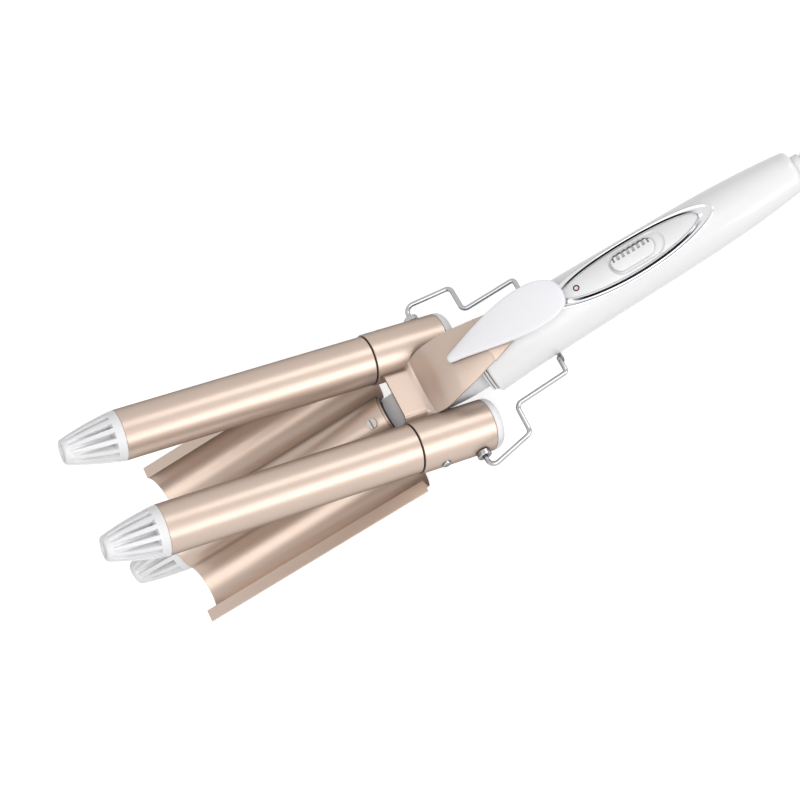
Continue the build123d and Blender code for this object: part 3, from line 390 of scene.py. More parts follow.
def paint_cove_reflection(material):
    """Paint a dark reflection into an oval surround inside its rim, away from its two ends and less
    along its front.
    """
    tree = material.node_tree
    shader = tree.nodes["Principled BSDF"]
    plain = shader.inputs["Base Color"].links[0].from_socket
    place = add(tree, "TexCoord", {}).outputs["Generated"]
    centred = add(tree, "Mapping", {"Vector": place, "Location": (-1, -1, 0), "Scale": (2, 2, 0)})
    parts = add(tree, "SeparateXYZ", {"Vector": centred.outputs["Vector"]})
    along = parts.outputs["X"]
    across = parts.outputs["Y"]
    along_squared = reckon(tree, "MULTIPLY", along, along)
    across_squared = reckon(tree, "MULTIPLY", across, across)
    middle = reckon(tree, "SUBTRACT", 1.0, along_squared)
    front = share_between(tree, reckon(tree, "MULTIPLY", across, -1.0), *COVE_FRONT)
    shift = reckon(tree, "MULTIPLY", reckon(tree, "MULTIPLY", middle, middle), front)
    away = reckon(tree, "POWER", reckon(tree, "ADD", along_squared, across_squared), 0.5)
    reach = reckon(tree, "ADD", away, reckon(tree, "MULTIPLY", shift, COVE_SHIFT))
    starts = share_between(tree, reach, *COVE_STARTS)
    stops = share_between(tree, reach, *COVE_STOPS)
    ends = share_between(tree, reckon(tree, "ABSOLUTE", across), *COVE_ENDS)
    reflection_share = reckon(tree, "MULTIPLY", reckon(tree, "MULTIPLY", starts, stops), ends)
    # the painted dark reflection is mixed into the chrome's own colour here
    shaded = {"Factor": reflection_share, "A": plain, "B": PAINTED_COVE_REFLECTION}
    colour = add(tree, "Mix", shaded, data_type="RGBA").outputs["Result"]
    feed(tree, shader, {"Base Color": colour})
    return material


# ---- Materials ----

POLISH = {
    "metallic": 1.0, "roughness": 0.12, "grain": 1500.0, "bump": 0.01, "wear": 0.03, "edge": 0.0,
}

# Where a finish below is given an occlusion amount, its colour is darkened in troughs, grooves and
# recesses as painted shade.
SATIN = surface("satin_coat", (0.61, 0.49, 0.415), metallic=0.66, roughness=0.36, grain=5200.0,
                mottle=0.03, edge=0.0, painted_shade=0.45, painted_shade_reach=9.0)
COOL_WHITE = surface("cool_white", (0.87, 0.87, 0.88), roughness=0.42, grain=2600.0, mottle=0.02,
                     painted_shade=0.3)
PAD_WHITE = surface("pad_white", (0.93, 0.93, 0.96), roughness=0.5, grain=3200.0, bump=0.06,
                    mottle=0.02)
PEARL = surface("handle_pearl", (0.86, 0.86, 0.86), roughness=0.3, grain=6000.0, bump=0.02,
                coat=0.3, mottle=0.02)
PANEL = surface("panel_white", (0.86, 0.86, 0.86), roughness=0.3, grain=4000.0, bump=0.03,
                coat=0.3, mottle=0.02, painted_shade=0.6)
NECK_GREY = surface("neck_grey", (0.80, 0.81, 0.83), roughness=0.5, grain=2200.0, bump=0.1)
RING_WHITE = surface("ring_clear_white", (0.78, 0.78, 0.79), roughness=0.16, bump=0.02, coat=0.8,
                     painted_shade=0.7, painted_shade_reach=1.0)
CHROME = surface("chrome_trim", (0.48, 0.48, 0.50), painted_shade=0.8, painted_shade_reach=1.5, **POLISH)
# The surround's chrome carries a painted dark reflection in its cove.
BEZEL = paint_cove_reflection(surface("chrome_trim", (0.78, 0.78, 0.80), **POLISH))
SWITCH_WHITE = surface("switch_white", (0.90, 0.90, 0.91), roughness=0.38, grain=2600.0, bump=0.06,
                       painted_shade=1.0, painted_shade_reach=1.5)
SWITCH_FRAME = surface("switch_frame", (0.04, 0.04, 0.045), roughness=0.5, grain=1500.0, bump=0.1)
LED_LENS = surface("led_lens", (0.80, 0.62, 0.64), roughness=0.15, grain=800.0, bump=0.02, coat=0.5)
LED_RED = surface("led_red", (0.11, 0.015, 0.02), roughness=0.3)
BOARD = surface("board_green", (0.03, 0.14, 0.06), roughness=0.35, grain=1200.0, bump=0.1, coat=0.4)
HEATER = surface("heater_ceramic", (0.62, 0.60, 0.55), roughness=0.85, grain=1800.0, bump=0.4,
                 mottle=0.08)
SPREADER = surface("spreader_aluminium", (0.70, 0.70, 0.71), metallic=1.0, roughness=0.32,
                   grain=500.0, stretch=(0.05, 1, 1))
BASE_CERAMIC = surface("base_ceramic", (0.05, 0.045, 0.04), roughness=0.7, grain=1400.0, bump=0.3,
                       mottle=0.15)
STEEL = surface("steel", (0.40, 0.37, 0.35), metallic=1.0, roughness=0.42, bump=0.08, painted_shade=0.9,
                painted_shade_reach=1.5)
SLEEVING = weave("lead_sleeving", (0.62, 0.60, 0.54), 900.0)
CORD_WHITE = surface("cord_white", (0.84, 0.84, 0.85), roughness=0.48, grain=1800.0, bump=0.12)
CLAMP = surface("clamp_grey", (0.35, 0.35, 0.36), roughness=0.55, grain=1400.0, bump=0.15)
PLUG_WHITE = surface("plug_white", (0.84, 0.84, 0.85), roughness=0.42, grain=1500.0, bump=0.15)
TIE = weave("tie_black", (0.02, 0.02, 0.022), 700.0)
PIN = surface("pin_brass", (0.66, 0.62, 0.52), metallic=1.0, roughness=0.22, grain=700.0,
              stretch=(0.1, 1, 1))

FINISHES = {
    material["slot"]: material
    for material in (
        SATIN, COOL_WHITE, PAD_WHITE, PEARL, PANEL, NECK_GREY, RING_WHITE, CHROME, SWITCH_WHITE,
        SWITCH_FRAME, LED_LENS, LED_RED, BOARD, HEATER, SPREADER, BASE_CERAMIC, STEEL, SLEEVING,
        CORD_WHITE, CLAMP, PLUG_WHITE, TIE, PIN,
    )
}

for row in frame["record"]["subparts"]:
    node = frame["nodes"][row["node"]]
    node.data.materials.clear()
    node.data.materials.append(FINISHES[row["material_slot"]])

# ---- Barrels and their tips ----

OUTER_LENGTH = 131.6
MIDDLE_LENGTH = 127.5
BARREL_WALL = 1.0

TIP_LENGTH = 28.5
TIP_END_R = 5.9
TIP_BELLY = 0.5  # height of the cone's outward curve
TIP_RIM = 0.9  # rounding of the cone's end
TIP_RING = 4.2
TIP_STEP = 0.6
TIP_SEAT_R = BARREL_R - 2.5
# depth below the tip's end, radius
TIP_DISH = ((0.0, TIP_END_R - 1.3), (0.2, TIP_END_R - 1.55), (1.6, TIP_END_R - 1.6), (1.6, 0.2))

TIP_SLOTS = 14
TIP_SLOT_COLUMNS = 24
TIP_SLOT_WIDE = 2.6  # beside the band
TIP_SLOT_NARROW = 1.3  # at the slots' ends
TIP_SLOT_WALL = 0.7
TIP_SLOT_FLOOR_R = 7.0
TIP_SLOT_LEAST = 0.8
TIP_SLOT_END = 26.2
TIP_SLOT_RUN_IN = 0.5
TIP_SLOT_RUN_OUT = 2.0


def tip_radius(distance):
    """The tip's outside: a plain band, then a cone with a rounded end."""
    if distance <= TIP_RING:
        return BARREL_R - TIP_STEP * distance / TIP_RING
    share = (distance - TIP_RING) / (TIP_LENGTH - TIP_RING)
    cone = BARREL_R - TIP_STEP + (TIP_END_R - BARREL_R + TIP_STEP) * share
    rim = max(distance - (TIP_LENGTH - TIP_RIM), 0.0)
    return cone + TIP_BELLY * sin(pi * share) - (TIP_RIM - sqrt(max(TIP_RIM**2 - rim**2, 0.0)))


def tip_slot_depth(distance, outer, turn):
    """The slots are deep beside the band and fade towards the tip's end."""
    width = TIP_SLOT_WIDE + (TIP_SLOT_NARROW - TIP_SLOT_WIDE) * distance / TIP_LENGTH
    from_slot = abs((turn / (2 * pi) * TIP_SLOTS) % 1.0 - 0.5) * 2 * pi / TIP_SLOTS * outer
    wall = smooth_step((width / 2 + TIP_SLOT_WALL / 2 - from_slot) / TIP_SLOT_WALL)
    ends = smooth_step((distance - TIP_RING) / TIP_SLOT_RUN_IN)
    ends *= smooth_step((TIP_SLOT_END - distance) / TIP_SLOT_RUN_OUT)
    return max(outer - TIP_SLOT_FLOOR_R, TIP_SLOT_LEAST) * wall * ends


def slotted_tip(name, origin, axis, body, node):
    place = turner(origin, axis, ACROSS)
    circle = turns(TIP_SLOTS * TIP_SLOT_COLUMNS)
    distances = [0.0, 0.35, 1.5, 3.0, TIP_RING - 0.2] + steps(TIP_RING, TIP_LENGTH - TIP_RIM, 46)
    distances += [TIP_LENGTH - 0.45, TIP_LENGTH - 0.13, TIP_LENGTH]
    rows = [[place(0.0, TIP_SEAT_R, turn) for turn in circle]]
    for distance in distances:
        outer = tip_radius(distance)
        rows.append([
            place(distance, outer - tip_slot_depth(distance, outer, turn), turn) for turn in circle
        ])
    for depth, radius in TIP_DISH:
        rows.append([place(TIP_LENGTH - depth, radius, turn) for turn in circle])
    tip = skin(rows, looped=True, capped=True)
    build(name, [tip], COOL_WHITE, body, [node], sharp=50)


def tube(start, end, outer, inner):
    """The outline of a plain tube."""
    return [(start, inner), (start, outer), (end, outer), (end, inner)]


def barrel(prefix, origin, axis, length, body):
    outline = tube(0.15, length - 0.12, BARREL_R, BARREL_R - BARREL_WALL)
    shape = lathe(origin, axis, outline, 160)
    build(f"{prefix}_barrel_tube", [shape], SATIN, body, [f"{prefix}_barrel"], bevel=0.25)
    tip_origin = origin + axis * length * MM
    slotted_tip(f"{prefix}_cool_tip", tip_origin, axis, body, f"{prefix}_tip")


barrel("middle", base(-SEAM, 0, 0), Vector((-1, 0, 0)), MIDDLE_LENGTH, "handle")
for side, sign in SIDES.items():
    seat = jaw(-SEAM - SEAM_GAP, sign * BARREL_SPACING, JAW_RISE)
    barrel(side, seat, -ALONG, OUTER_LENGTH, "upper_jaw")

# ---- Wave plate ----

PLATE_SHEET = 0.8
PLATE_LENGTH = 127.5
TROUGH_R = 14.0
LIP_WIDTH = 5.6
LIP_HEIGHT = 5.7
LIP_CORNER = 0.8
HUMP_SETBACK = 1.2


def plate_half(grow):
    """The plate's face from its hump to its lip, as (y, z); grow is 0 above and negative below."""
    hump = BARREL_R + PLATE_SHEET + grow
    trough = TROUGH_R - grow
    wall_angle = acos((BARREL_SPACING - hump) / trough)
    lip_z = LIP_HEIGHT + grow
    lip_angle = asin((lip_z - JAW_RISE) / trough)
    line = [(hump * sin(a), hump * cos(a)) for a in steps(0, pi / 2, 24)]
    for a in steps(pi + wall_angle, 2 * pi + lip_angle, 44):
        line.append((BARREL_SPACING + trough * cos(a), JAW_RISE + trough * sin(a)))
    line.append((line[-1][0] + LIP_CORNER, lip_z))
    line.append((BARREL_SPACING + TROUGH_R + LIP_WIDTH, lip_z))
    return line


def wave_plate():
    upper = plate_half(0.0)
    lower = plate_half(-PLATE_SHEET)
    loop = [(-y, z) for y, z in reversed(upper)] + upper[1:]
    loop += list(reversed(lower)) + [(-y, z) for y, z in lower[1:]]
    front = -SEAM - PLATE_LENGTH
    hump_rear = -SEAM - HUMP_SETBACK
    rows = []
    for x in (front, front + 1, hump_rear - 1, -SEAM):
        row = []
        for y, z in loop:
            on_hump = abs(y) <= BARREL_R + PLATE_SHEET + 0.01 and z >= -0.01
            row.append(base(min(x, hump_rear) if on_hump else x, y, z))
        rows.append(row)
    sheet = skin(rows, looped=True, capped=True)
    build("wave_plate_sheet", [sheet], SATIN, "handle", ["wave_plate"], bevel=0.2)


wave_plate()

# ---- Sleeves, end caps, rivets and bushes ----

CAP_LENGTH = 5.0
CAP_ROUND = 3.5
CAP_WALL = 1.6
RIVET_STATION = 13.4
RIVET_R = 2.3
RIVET_HEIGHT = 0.9
RIVET_DOME = 0.35
BUSH_STATION = 7.0
# distance outward from the sleeve, radius
BUSH_OUTLINE = [(-3.0, 1.3), (-3.0, 2.75), (0.1, 2.75), (0.1, 3.6), (3.0, 3.6), (3.0, 1.3)]


def cap_outline():
    """A shallow hollow cup with a rounded rim."""
    outline = [(0.05, SLEEVE_R - SLEEVE_WALL - CAP_WALL), (0.05, SLEEVE_R)]
    for angle in steps(0, pi / 2, 8):
        along = CAP_LENGTH - CAP_ROUND + CAP_ROUND * sin(angle)
        outline.append((along, SLEEVE_R - CAP_ROUND + CAP_ROUND * cos(angle)))
    return outline + [(CAP_LENGTH, 0.3), (CAP_LENGTH - CAP_WALL, 0.3)]


def rivet_outline():
    """A low domed head."""
    spread = RIVET_DOME * 1.6
    outline = [(-0.8, 0.05), (-0.8, RIVET_R)]
    for angle in steps(0, pi / 2, 6):
        along = RIVET_HEIGHT - RIVET_DOME + RIVET_DOME * sin(angle)
        outline.append((along, RIVET_R - spread + spread * cos(angle)))
    return outline + [(RIVET_HEIGHT + 0.05, 0.05)]


def sleeves():
    rivets = []
    for side, sign in SIDES.items():
        front = jaw(-SEAM, sign * BARREL_SPACING, JAW_RISE)
        rear = jaw(SLEEVE_REAR, sign * BARREL_SPACING, JAW_RISE)
        outline = tube(0.1, SEAM + SLEEVE_REAR - 0.1, SLEEVE_R, SLEEVE_R - SLEEVE_WALL)
        shape = lathe(front, ALONG, outline, 160)
        build(f"{side}_sleeve_tube", [shape], SATIN, "upper_jaw", [f"{side}_sleeve"], bevel=0.3)
        cap = lathe(rear, ALONG, cap_outline(), 128)
        build(f"{side}_rear_cap", [cap], COOL_WHITE, "upper_jaw", [f"{side}_end_cap"], sharp=55)
        head = jaw(-RIVET_STATION, sign * (BARREL_SPACING + SLEEVE_R), JAW_RISE)
        rivets.append(lathe(head, ACROSS * sign, rivet_outline(), 48))
    build("sleeve_rivet_heads", rivets, CHROME, "upper_jaw", ["sleeve_rivets"], sharp=60)


def stand_bushes():
    bushes = []
    for sign in SIDES.values():
        outside = jaw(BUSH_STATION, sign * (BARREL_SPACING + SLEEVE_R), JAW_RISE)
        bushes.append(lathe(outside, ACROSS * sign, BUSH_OUTLINE, 64))
    build("wire_bushes", bushes, CHROME, "stand_bushes", ["stand_bushes"], bevel=0.8)


sleeves()
stand_bushes()

# ---- Wire stand ----

WIRE_R = 1.2
# from the bushes' axis to the crossbar's middle, relative to that axis
STAND_HALF = (
    (0, 40.55, 0),
    (0, 50.0, 0),
    (25.5, 45.4, 1.518),
    (26.0, 29.6, 3.312),
    (55.7, 28.9, 4.6),
    (55.7, 20.5, 4.6),
    (55.7, 14.5, -14.6),
)
STAND_BENDS = (4.0, 3.2, 3.2, 1.8, 3.0, 3.0)


def wire_stand():
    pivot = jaw(BUSH_STATION, 0, JAW_RISE)
    corners = [pivot + Vector(point) * MM for point in STAND_HALF]
    corners += [pivot + Vector((x, -y, z)) * MM for x, y, z in reversed(STAND_HALF)]
    path = bent(corners, STAND_BENDS + STAND_BENDS[::-1], 10)
    piece, _ = round_curve("stand_wire_loop", "POLY", path, WIRE_R, 8)
    piece.data.use_fill_caps = True
    dress(piece, CHROME, "stand", ["stand_wire"])


wire_stand()

# ---- Yoke, lever and thumb pad ----

YOKE_FRONT = 24.0
YOKE_TOP = 7.1
YOKE_HALF = 15.0
YOKE_BEND = 11.6  # its edges turn down from here
YOKE_DROP = 2.4
FLARE_START = 12.5
LEVER_SHEET = 1.5
# along the lever: station, half width, centre height, edge height
LEVER = (
    (-8.8, 16.2, 7.4, 8.4),
    (-6.0, 17.2, 12.4, 12.0),
    (-3.0, 17.5, 18.6, 16.0),
    (1.9, 16.7, 25.7, 22.2),
    (5.0, 16.2, 28.7, 25.5),
    (10.0, 15.1, 33.2, 30.2),
    (13.5, 13.9, 36.3, 33.5),
    (17.05, 12.9, 39.3, 36.7),
    (18.4, 12.4, 40.2, 37.9),
)

# the lever's end under the pad
TONGUE_START = 20.0
TONGUE_END = 46.0
TONGUE_HALF = 12.9
TONGUE_TAPER = 7.3
TONGUE_ARCH = 2.8
TONGUE_SHEET = 2.0

# the yoke's sides on the sleeves; they rise towards the lever
FLANGE_REAR = -6.5
FLANGE_HALF = 14.9
FLANGE_LEAN = 0.5
FLANGE_TOP = 4.9
FLANGE_TOP_RISE = 2.0
FLANGE_FOOT = 2.0
FLANGE_FOOT_RISE = 3.8
FLANGE_RISE_START = -12.0
FLANGE_RISE_LENGTH = 5.0
FLANGE_SHEET = 1.3

PAD_STATION = 1.6
PAD_HEIGHT = 26.2
PAD_SLOPE = radians(33.0)
PAD_LENGTH = 65.5
PAD_WIDTH = 23.8
PAD_THICKNESS = 2.8
PAD_ARCH = 3.4
PAD_CROWN = 0.25
PAD_ROWS = 60
PAD_END_ROWS = 4  # the pad gets its thickness over these rows
PAD_SPREAD = 1.35  # of the section's points towards the pad's edges
PAD_FULLNESS = 0.96
PAD_SQUARENESS = 0.6
# share of the pad's length, share of its half width
LEAF = (
    (0.0, 0.0), (0.008, 0.11), (0.03, 0.18), (0.12, 0.31), (0.25, 0.52), (0.40, 0.74),
    (0.55, 0.91), (0.70, 1.0), (0.80, 0.98), (0.87, 0.91), (0.93, 0.76), (0.97, 0.57),
    (0.99, 0.35), (1.0, 0.0),
)


def pad_point(u, v, height):
    """A point of the pad: along it, across it, and above its arched underside."""
    arch_r = ((PAD_LENGTH / 2) ** 2 + PAD_ARCH**2) / (2 * PAD_ARCH)
    lift = sqrt(arch_r**2 - (u - PAD_LENGTH / 2) ** 2) - arch_r + PAD_ARCH + height
    x = PAD_STATION + u * cos(PAD_SLOPE) - lift * sin(PAD_SLOPE)
    z = PAD_HEIGHT + u * sin(PAD_SLOPE) + lift * cos(PAD_SLOPE)
    return jaw(x, v, z)


def lever_row(x):
    """One row of the sheet's upper face: the flat yoke, the lever or the flare between them."""
    half, centre, edge = between(LEVER, max(x, LEVER[0][0]))
    flare = smooth_step((x + FLARE_START) / (FLARE_START + LEVER[0][0]))
    row = []
    for share in steps(-1.0, 1.0, 40):
        flat_y = share * YOKE_HALF
        turned = smooth_step((abs(flat_y) - YOKE_BEND) / (YOKE_HALF - YOKE_BEND))
        flat_z = YOKE_TOP - YOKE_DROP * turned
        y = share * half
        z = edge + (centre - edge) * cos(share * pi / 2)
        row.append(jaw(x, flat_y + (y - flat_y) * flare, flat_z + (z - flat_z) * flare))
    return row


def tongue_row(u):
    share = (u - TONGUE_START) / (TONGUE_END - TONGUE_START)
    half = TONGUE_HALF - TONGUE_TAPER * share
    arch = TONGUE_ARCH * (1 - share)
    return [
        pad_point(u, v, -0.02 - arch * (1 - cos(v / half * pi / 2))) for v in steps(-half, half, 16)
    ]


def flange_row(x, sign):
    rise = smooth_step((x - FLANGE_RISE_START) / FLANGE_RISE_LENGTH)
    top = FLANGE_TOP + FLANGE_TOP_RISE * rise
    foot = FLANGE_FOOT + FLANGE_FOOT_RISE * rise
    return [
        jaw(x, sign * (FLANGE_HALF - FLANGE_LEAN * share), top + (foot - top) * share)
        for share in steps(0, 1, 6)
    ]


def yoke_lever():
    stations = [-YOKE_FRONT, -FLARE_START - 4, -FLARE_START]
    stations += steps(-11.8, -8.8, 5) + steps(-8.3, LEVER[-1][0], 44)
    tongue = [tongue_row(u) for u in steps(TONGUE_START, TONGUE_END, 24)]
    sheets = [
        sheet_metal([lever_row(x) for x in stations], LEVER_SHEET, UP),
        sheet_metal(tongue, TONGUE_SHEET, UP),
    ]
    for sign in SIDES.values():
        rows = [flange_row(x, sign) for x in steps(-YOKE_FRONT, FLANGE_REAR, 16)]
        sheets.append(sheet_metal(rows, FLANGE_SHEET, ACROSS * sign))
    build("yoke_lever_sheet", sheets, SATIN, "upper_jaw", ["yoke_lever"], bevel=0.25, sharp=38)


def thumb_pad():
    rows = []
    round_r = PAD_THICKNESS / 2
    for index in range(PAD_ROWS + 1):
        share = 0.5 - 0.5 * cos(pi * index / PAD_ROWS)
        half = max(between(LEAF, share)[0], 0.0) * PAD_WIDTH / 2
        flat = max(half - round_r, 0.0)
        reach = min(half, round_r)
        end = sqrt(min(index, PAD_ROWS - index, PAD_END_ROWS) / PAD_END_ROWS)
        row = []
        for turn in turns(56):
            v = flat * max(min(PAD_SPREAD * cos(turn), 1.0), -1.0) + reach * cos(turn)
            swell = PAD_FULLNESS * end * signed_power(sin(turn), PAD_SQUARENESS)
            height = round_r + round_r * swell
            if flat and sin(turn) > 0:
                height += PAD_CROWN * (1 - (flat * cos(turn) / max(flat, 0.1)) ** 2)
            row.append(pad_point(share * PAD_LENGTH, v, height))
        rows.append(row)
    leaf = skin(rows, looped=True, capped=True)
    build("thumb_pad_leaf", [leaf], PAD_WHITE, "upper_jaw", ["thumb_pad"], sharp=70)


yoke_lever()
thumb_pad()

# ---- Handle ----

HANDLE_START = 29.2
HANDLE_RISE = 1.0
HANDLE_FLATTEN = 1.0
FRONT_ROUND = 1.6
FRONT_HOLE_R = 12.6
TAIL_ROUND = 3.0
TAIL_HOLE_R = 5.3
JOINT_TURN_IN = 0.5  # of the shells' edges
JOINT_GAPS = (0.09, 0.07)  # half the joint line's width at an edge, and beside it
# distance from the handle's front, half width
HANDLE = (
    (0.0, 18.4), (23.0, 17.2), (80.0, 15.9), (121.0, 15.0), (146.0, 13.8), (164.0, 12.2),
    (177.8, 10.6),
)
HANDLE_LENGTH = HANDLE[-1][0]
HANDLE_END = HANDLE_START + HANDLE_LENGTH

COLLAR_START = 26.0
COLLAR_R = 16.8
COLLAR_BORE_R = 12.5
# distance from the collar's front, inset; a fine groove makes it read as two bands
COLLAR_PROFILE = (
    (0.0, 1.5), (0.1, 1.1), (0.4, 0.8), (0.8, 0.7), (1.15, 0.85), (1.3, 1.35), (1.45, 1.35),
    (1.6, 0.5), (1.9, 0.15), (2.3, 0.0), (2.75, 0.1), (3.0, 0.5),
)

PANEL_MIDDLE = 117.25
PANEL_LENGTH = 77.0
PANEL_WIDTH = 17.0
PANEL_SHEET = 0.9
BEZEL_LENGTH = 92.5
BEZEL_WIDTH = 23.4
BEZEL_SEAT = 1.2  # how deep the shell gives way under it
BEZEL_OVERLAP = 0.4
COVE_DEPTH = 0.55
TRIM_PROUD = 0.35
# inset from the surround's outline, height above the handle
RIM_PROFILE = (
    (0.0, -1.0), (0.0, 0.0), (0.1, 0.2), (0.35, TRIM_PROUD), (0.9, TRIM_PROUD), (1.2, 0.15),
    (1.35, -0.1),
)
INNER_TRIM_WIDTH = 0.7
INNER_TRIM_DEPTH = 0.8
# share of the line's width, share of its height or depth
TRIM_PROFILE = (
    (-0.5, -1.0), (-0.5, 0.0), (-0.42, 0.55), (-0.22, 0.92), (0, 1.0), (0.22, 0.92), (0.42, 0.55),
    (0.5, 0.0), (0.5, -1.0),
)
DISH_MIDDLE = 120.9
DISH_LENGTH = 30.0
DISH_WIDTH = 13.4
DISH_DEPTH = 0.6
DISH_WALL = 0.7
LED_STATION = 87.3
LED_RING_OUTLINE = [(-0.8, 0.9), (-0.8, 1.7), (0.1, 1.65), (0.1, 0.95)]
LED_LENS_OUTLINE = [(-0.8, 0.02), (-0.8, 0.9), (-0.25, 0.9), (-0.1, 0.7), (0.0, 0.4), (0.04, 0.02)]

KNOB_STATION = 118.9
KNOB_LENGTH = 23.0
KNOB_WIDTH = 9.8
KNOB_PROUD = 1.1
KNOB_SKIRT = 1.0
KNOB_ROUND = 0.55
KNOB_RIB_PITCH = 2.8
KNOB_RIB_SPAN = KNOB_RIB_PITCH * 3.6
KNOB_RIB_DEPTH = 0.9
KNOB_RIB_END = 0.4  # how softly the ribs end
KNOB_RIB_START = 0.6  # the ribs' front ends, behind the knob's middle line
CRESCENT_DEPTH = 1.5
CRESCENT_WIDTH = 1.2
CRESCENT_INSET = 0.35
CRESCENT_WALL = 0.2


def half_width(x):
    return between(HANDLE, x - HANDLE_START)[0]


def top_height(x, y):
    """Height of the handle's upper surface above the hinge."""
    half = half_width(x)
    return HANDLE_RISE + (half - HANDLE_FLATTEN) * sqrt(max(1 - (y / half) ** 2, 0.0))


def on_top(x, y, height):
    """A point at a height above the handle's upper surface."""
    return base(x, y, top_height(x, y) + height)


def in_bezel(x, y):
    """1 well inside the bezel's outline, 0 outside, with a soft step."""
    along = (x - PANEL_MIDDLE) / (BEZEL_LENGTH / 2 - BEZEL_OVERLAP)
    across = y / (BEZEL_WIDTH / 2 - BEZEL_OVERLAP)
    return smooth_step((1 - sqrt(along**2 + across**2)) * BEZEL_WIDTH)


def stadium(x, y, middle, length, width):
    """Distance from a round-ended outline, negative inside it."""
    straight = (length - width) / 2
    return sqrt(max(abs(x - middle) - straight, 0.0) ** 2 + y * y) - width / 2


def oval(length, width, turn, across=0.0):
    """A place on an oval round the panel's middle, moved outward across its line."""
    a = length / 2
    b = width / 2
    outward = Vector((cos(turn) * b, sin(turn) * a, 0)).normalized()
    return PANEL_MIDDLE + a * cos(turn) + outward.x * across, b * sin(turn) + outward.y * across


def rounding_inset(distance, radius):
    """How far a rounded end draws in, at a distance from the end."""
    return radius - sqrt(max(radius**2 - (radius - distance) ** 2, 0.0)) if distance < radius else 0


def shell_row(x, upper):
    """One half ring of a shell, with its edges turned in at the joint."""
    distance = x - HANDLE_START
    inset = rounding_inset(distance, FRONT_ROUND)
    inset += rounding_inset(HANDLE_LENGTH - distance, TAIL_ROUND)
    half = half_width(x) - inset
    angles = steps(0.0, pi, 132)
    row = []
    for index, angle in enumerate(angles):
        from_edge = min(index, len(angles) - 1 - index)
        y = (half if from_edge else half - JOINT_TURN_IN) * cos(angle)
        if from_edge < len(JOINT_GAPS):
            z = JOINT_GAPS[from_edge]
        else:
            z = (half - HANDLE_FLATTEN) * sin(angle)
        if upper:
            row.append(base(x, y, HANDLE_RISE + z - BEZEL_SEAT * in_bezel(x, y)))
        else:
            row.append(base(x, -y, HANDLE_RISE - z))
    return row


def drawn_in(row, radius):
    """A shell's end row, drawn in to the edge of a round hole."""
    centre = Vector((row[0].x, HINGE.y, HINGE.z + HANDLE_RISE * MM))
    return [centre + (point - centre).normalized() * radius * MM for point in row]


def shells():
    stations = [HANDLE_START + FRONT_ROUND * (1 - cos(a)) for a in steps(0.0, pi / 2, 6)]
    stations += steps(HANDLE_START + 2.2, HANDLE_END - TAIL_ROUND - 0.5, 260)
    stations += [HANDLE_END - TAIL_ROUND * (1 - sin(a)) for a in steps(0, pi / 2, 7)]
    for name, upper, node in (
        ("handle_upper", True, "handle_top_shell"),
        ("handle_lower", False, "handle_bottom_shell"),
    ):
        rows = [shell_row(x, upper) for x in stations]
        rows = [drawn_in(rows[0], FRONT_HOLE_R), *rows, drawn_in(rows[-1], TAIL_HOLE_R)]
        build(name, [skin(rows)], PEARL, "handle", [node], sharp=50)


def collar_ring():
    def ring(distance, half, flatten, rise):
        return [
            base(COLLAR_START + distance, half * cos(turn), rise + (half - flatten) * sin(turn))
            for turn in turns(128)
        ]

    rows = [ring(0.3, COLLAR_BORE_R, 0, 0)]
    for distance, inset in COLLAR_PROFILE:
        rows.append(ring(distance, COLLAR_R - inset, HANDLE_FLATTEN, HANDLE_RISE))
    rows.append(ring(COLLAR_PROFILE[-1][0], COLLAR_BORE_R, 0, 0))
    shape = skin(rows, looped=True)
    build("collar_ring_clear", [shape], RING_WHITE, "handle", ["collar_ring"], sharp=60)


def panel():
    """The oval panel, with the dished bed of the switch."""
    half_length = PANEL_LENGTH / 2 - INNER_TRIM_WIDTH
    half_across = PANEL_WIDTH / 2 - INNER_TRIM_WIDTH
    rows = []
    for x in steps(PANEL_MIDDLE - half_length, PANEL_MIDDLE + half_length, 190):
        reach = sqrt(max(1 - ((x - PANEL_MIDDLE) / half_length) ** 2, 0.0)) * half_across
        row = []
        for y in steps(-reach, reach, 60):
            inside = -stadium(x, y, DISH_MIDDLE, DISH_LENGTH, DISH_WIDTH)
            row.append(on_top(x, y, -DISH_DEPTH * smooth_step(inside / DISH_WALL + 0.1)))
        rows.append(row)
    build("control_panel_face", [skin(rows)], PANEL, "handle", ["control_panel"], sharp=60,
          thickness=PANEL_SHEET)


def bezel():
    """The chrome surround: a raised rounded rim, then a cove that dips to the panel's line."""
    rows = []
    for turn in turns(360):
        row = [
            on_top(*oval(BEZEL_LENGTH, BEZEL_WIDTH, turn, -inset), height)
            for inset, height in RIM_PROFILE
        ]
        rim_inset, rim_height = RIM_PROFILE[-1]
        outer = oval(BEZEL_LENGTH, BEZEL_WIDTH, turn, -rim_inset)
        inner = oval(PANEL_LENGTH, PANEL_WIDTH, turn)
        for share in steps(0.0, 1.0, 8)[1:]:
            x = outer[0] + (inner[0] - outer[0]) * share
            y = outer[1] + (inner[1] - outer[1]) * share
            row.append(on_top(x, y, rim_height - COVE_DEPTH * sin(pi * share)))
        row.append(on_top(*inner, -1.0))
        rows.append(row)
    shape = skin(rows + rows[:1], looped=True)
    build("bezel_surround", [shape], BEZEL, "handle", ["panel_trim_outer"], sharp=50)


def trim():
    """The fine chrome line laid round the panel."""
    rows = []
    for turn in turns(360):
        row = []
        for across, height in TRIM_PROFILE:
            x, y = oval(PANEL_LENGTH, PANEL_WIDTH, turn, (across - 0.5) * INNER_TRIM_WIDTH)
            row.append(on_top(x, y, height * (TRIM_PROUD if height > 0 else INNER_TRIM_DEPTH)))
        rows.append(row)
    shape = skin(rows + rows[:1], looped=True)
    build("panel_line", [shape], CHROME, "handle", ["panel_trim_inner"], sharp=60)


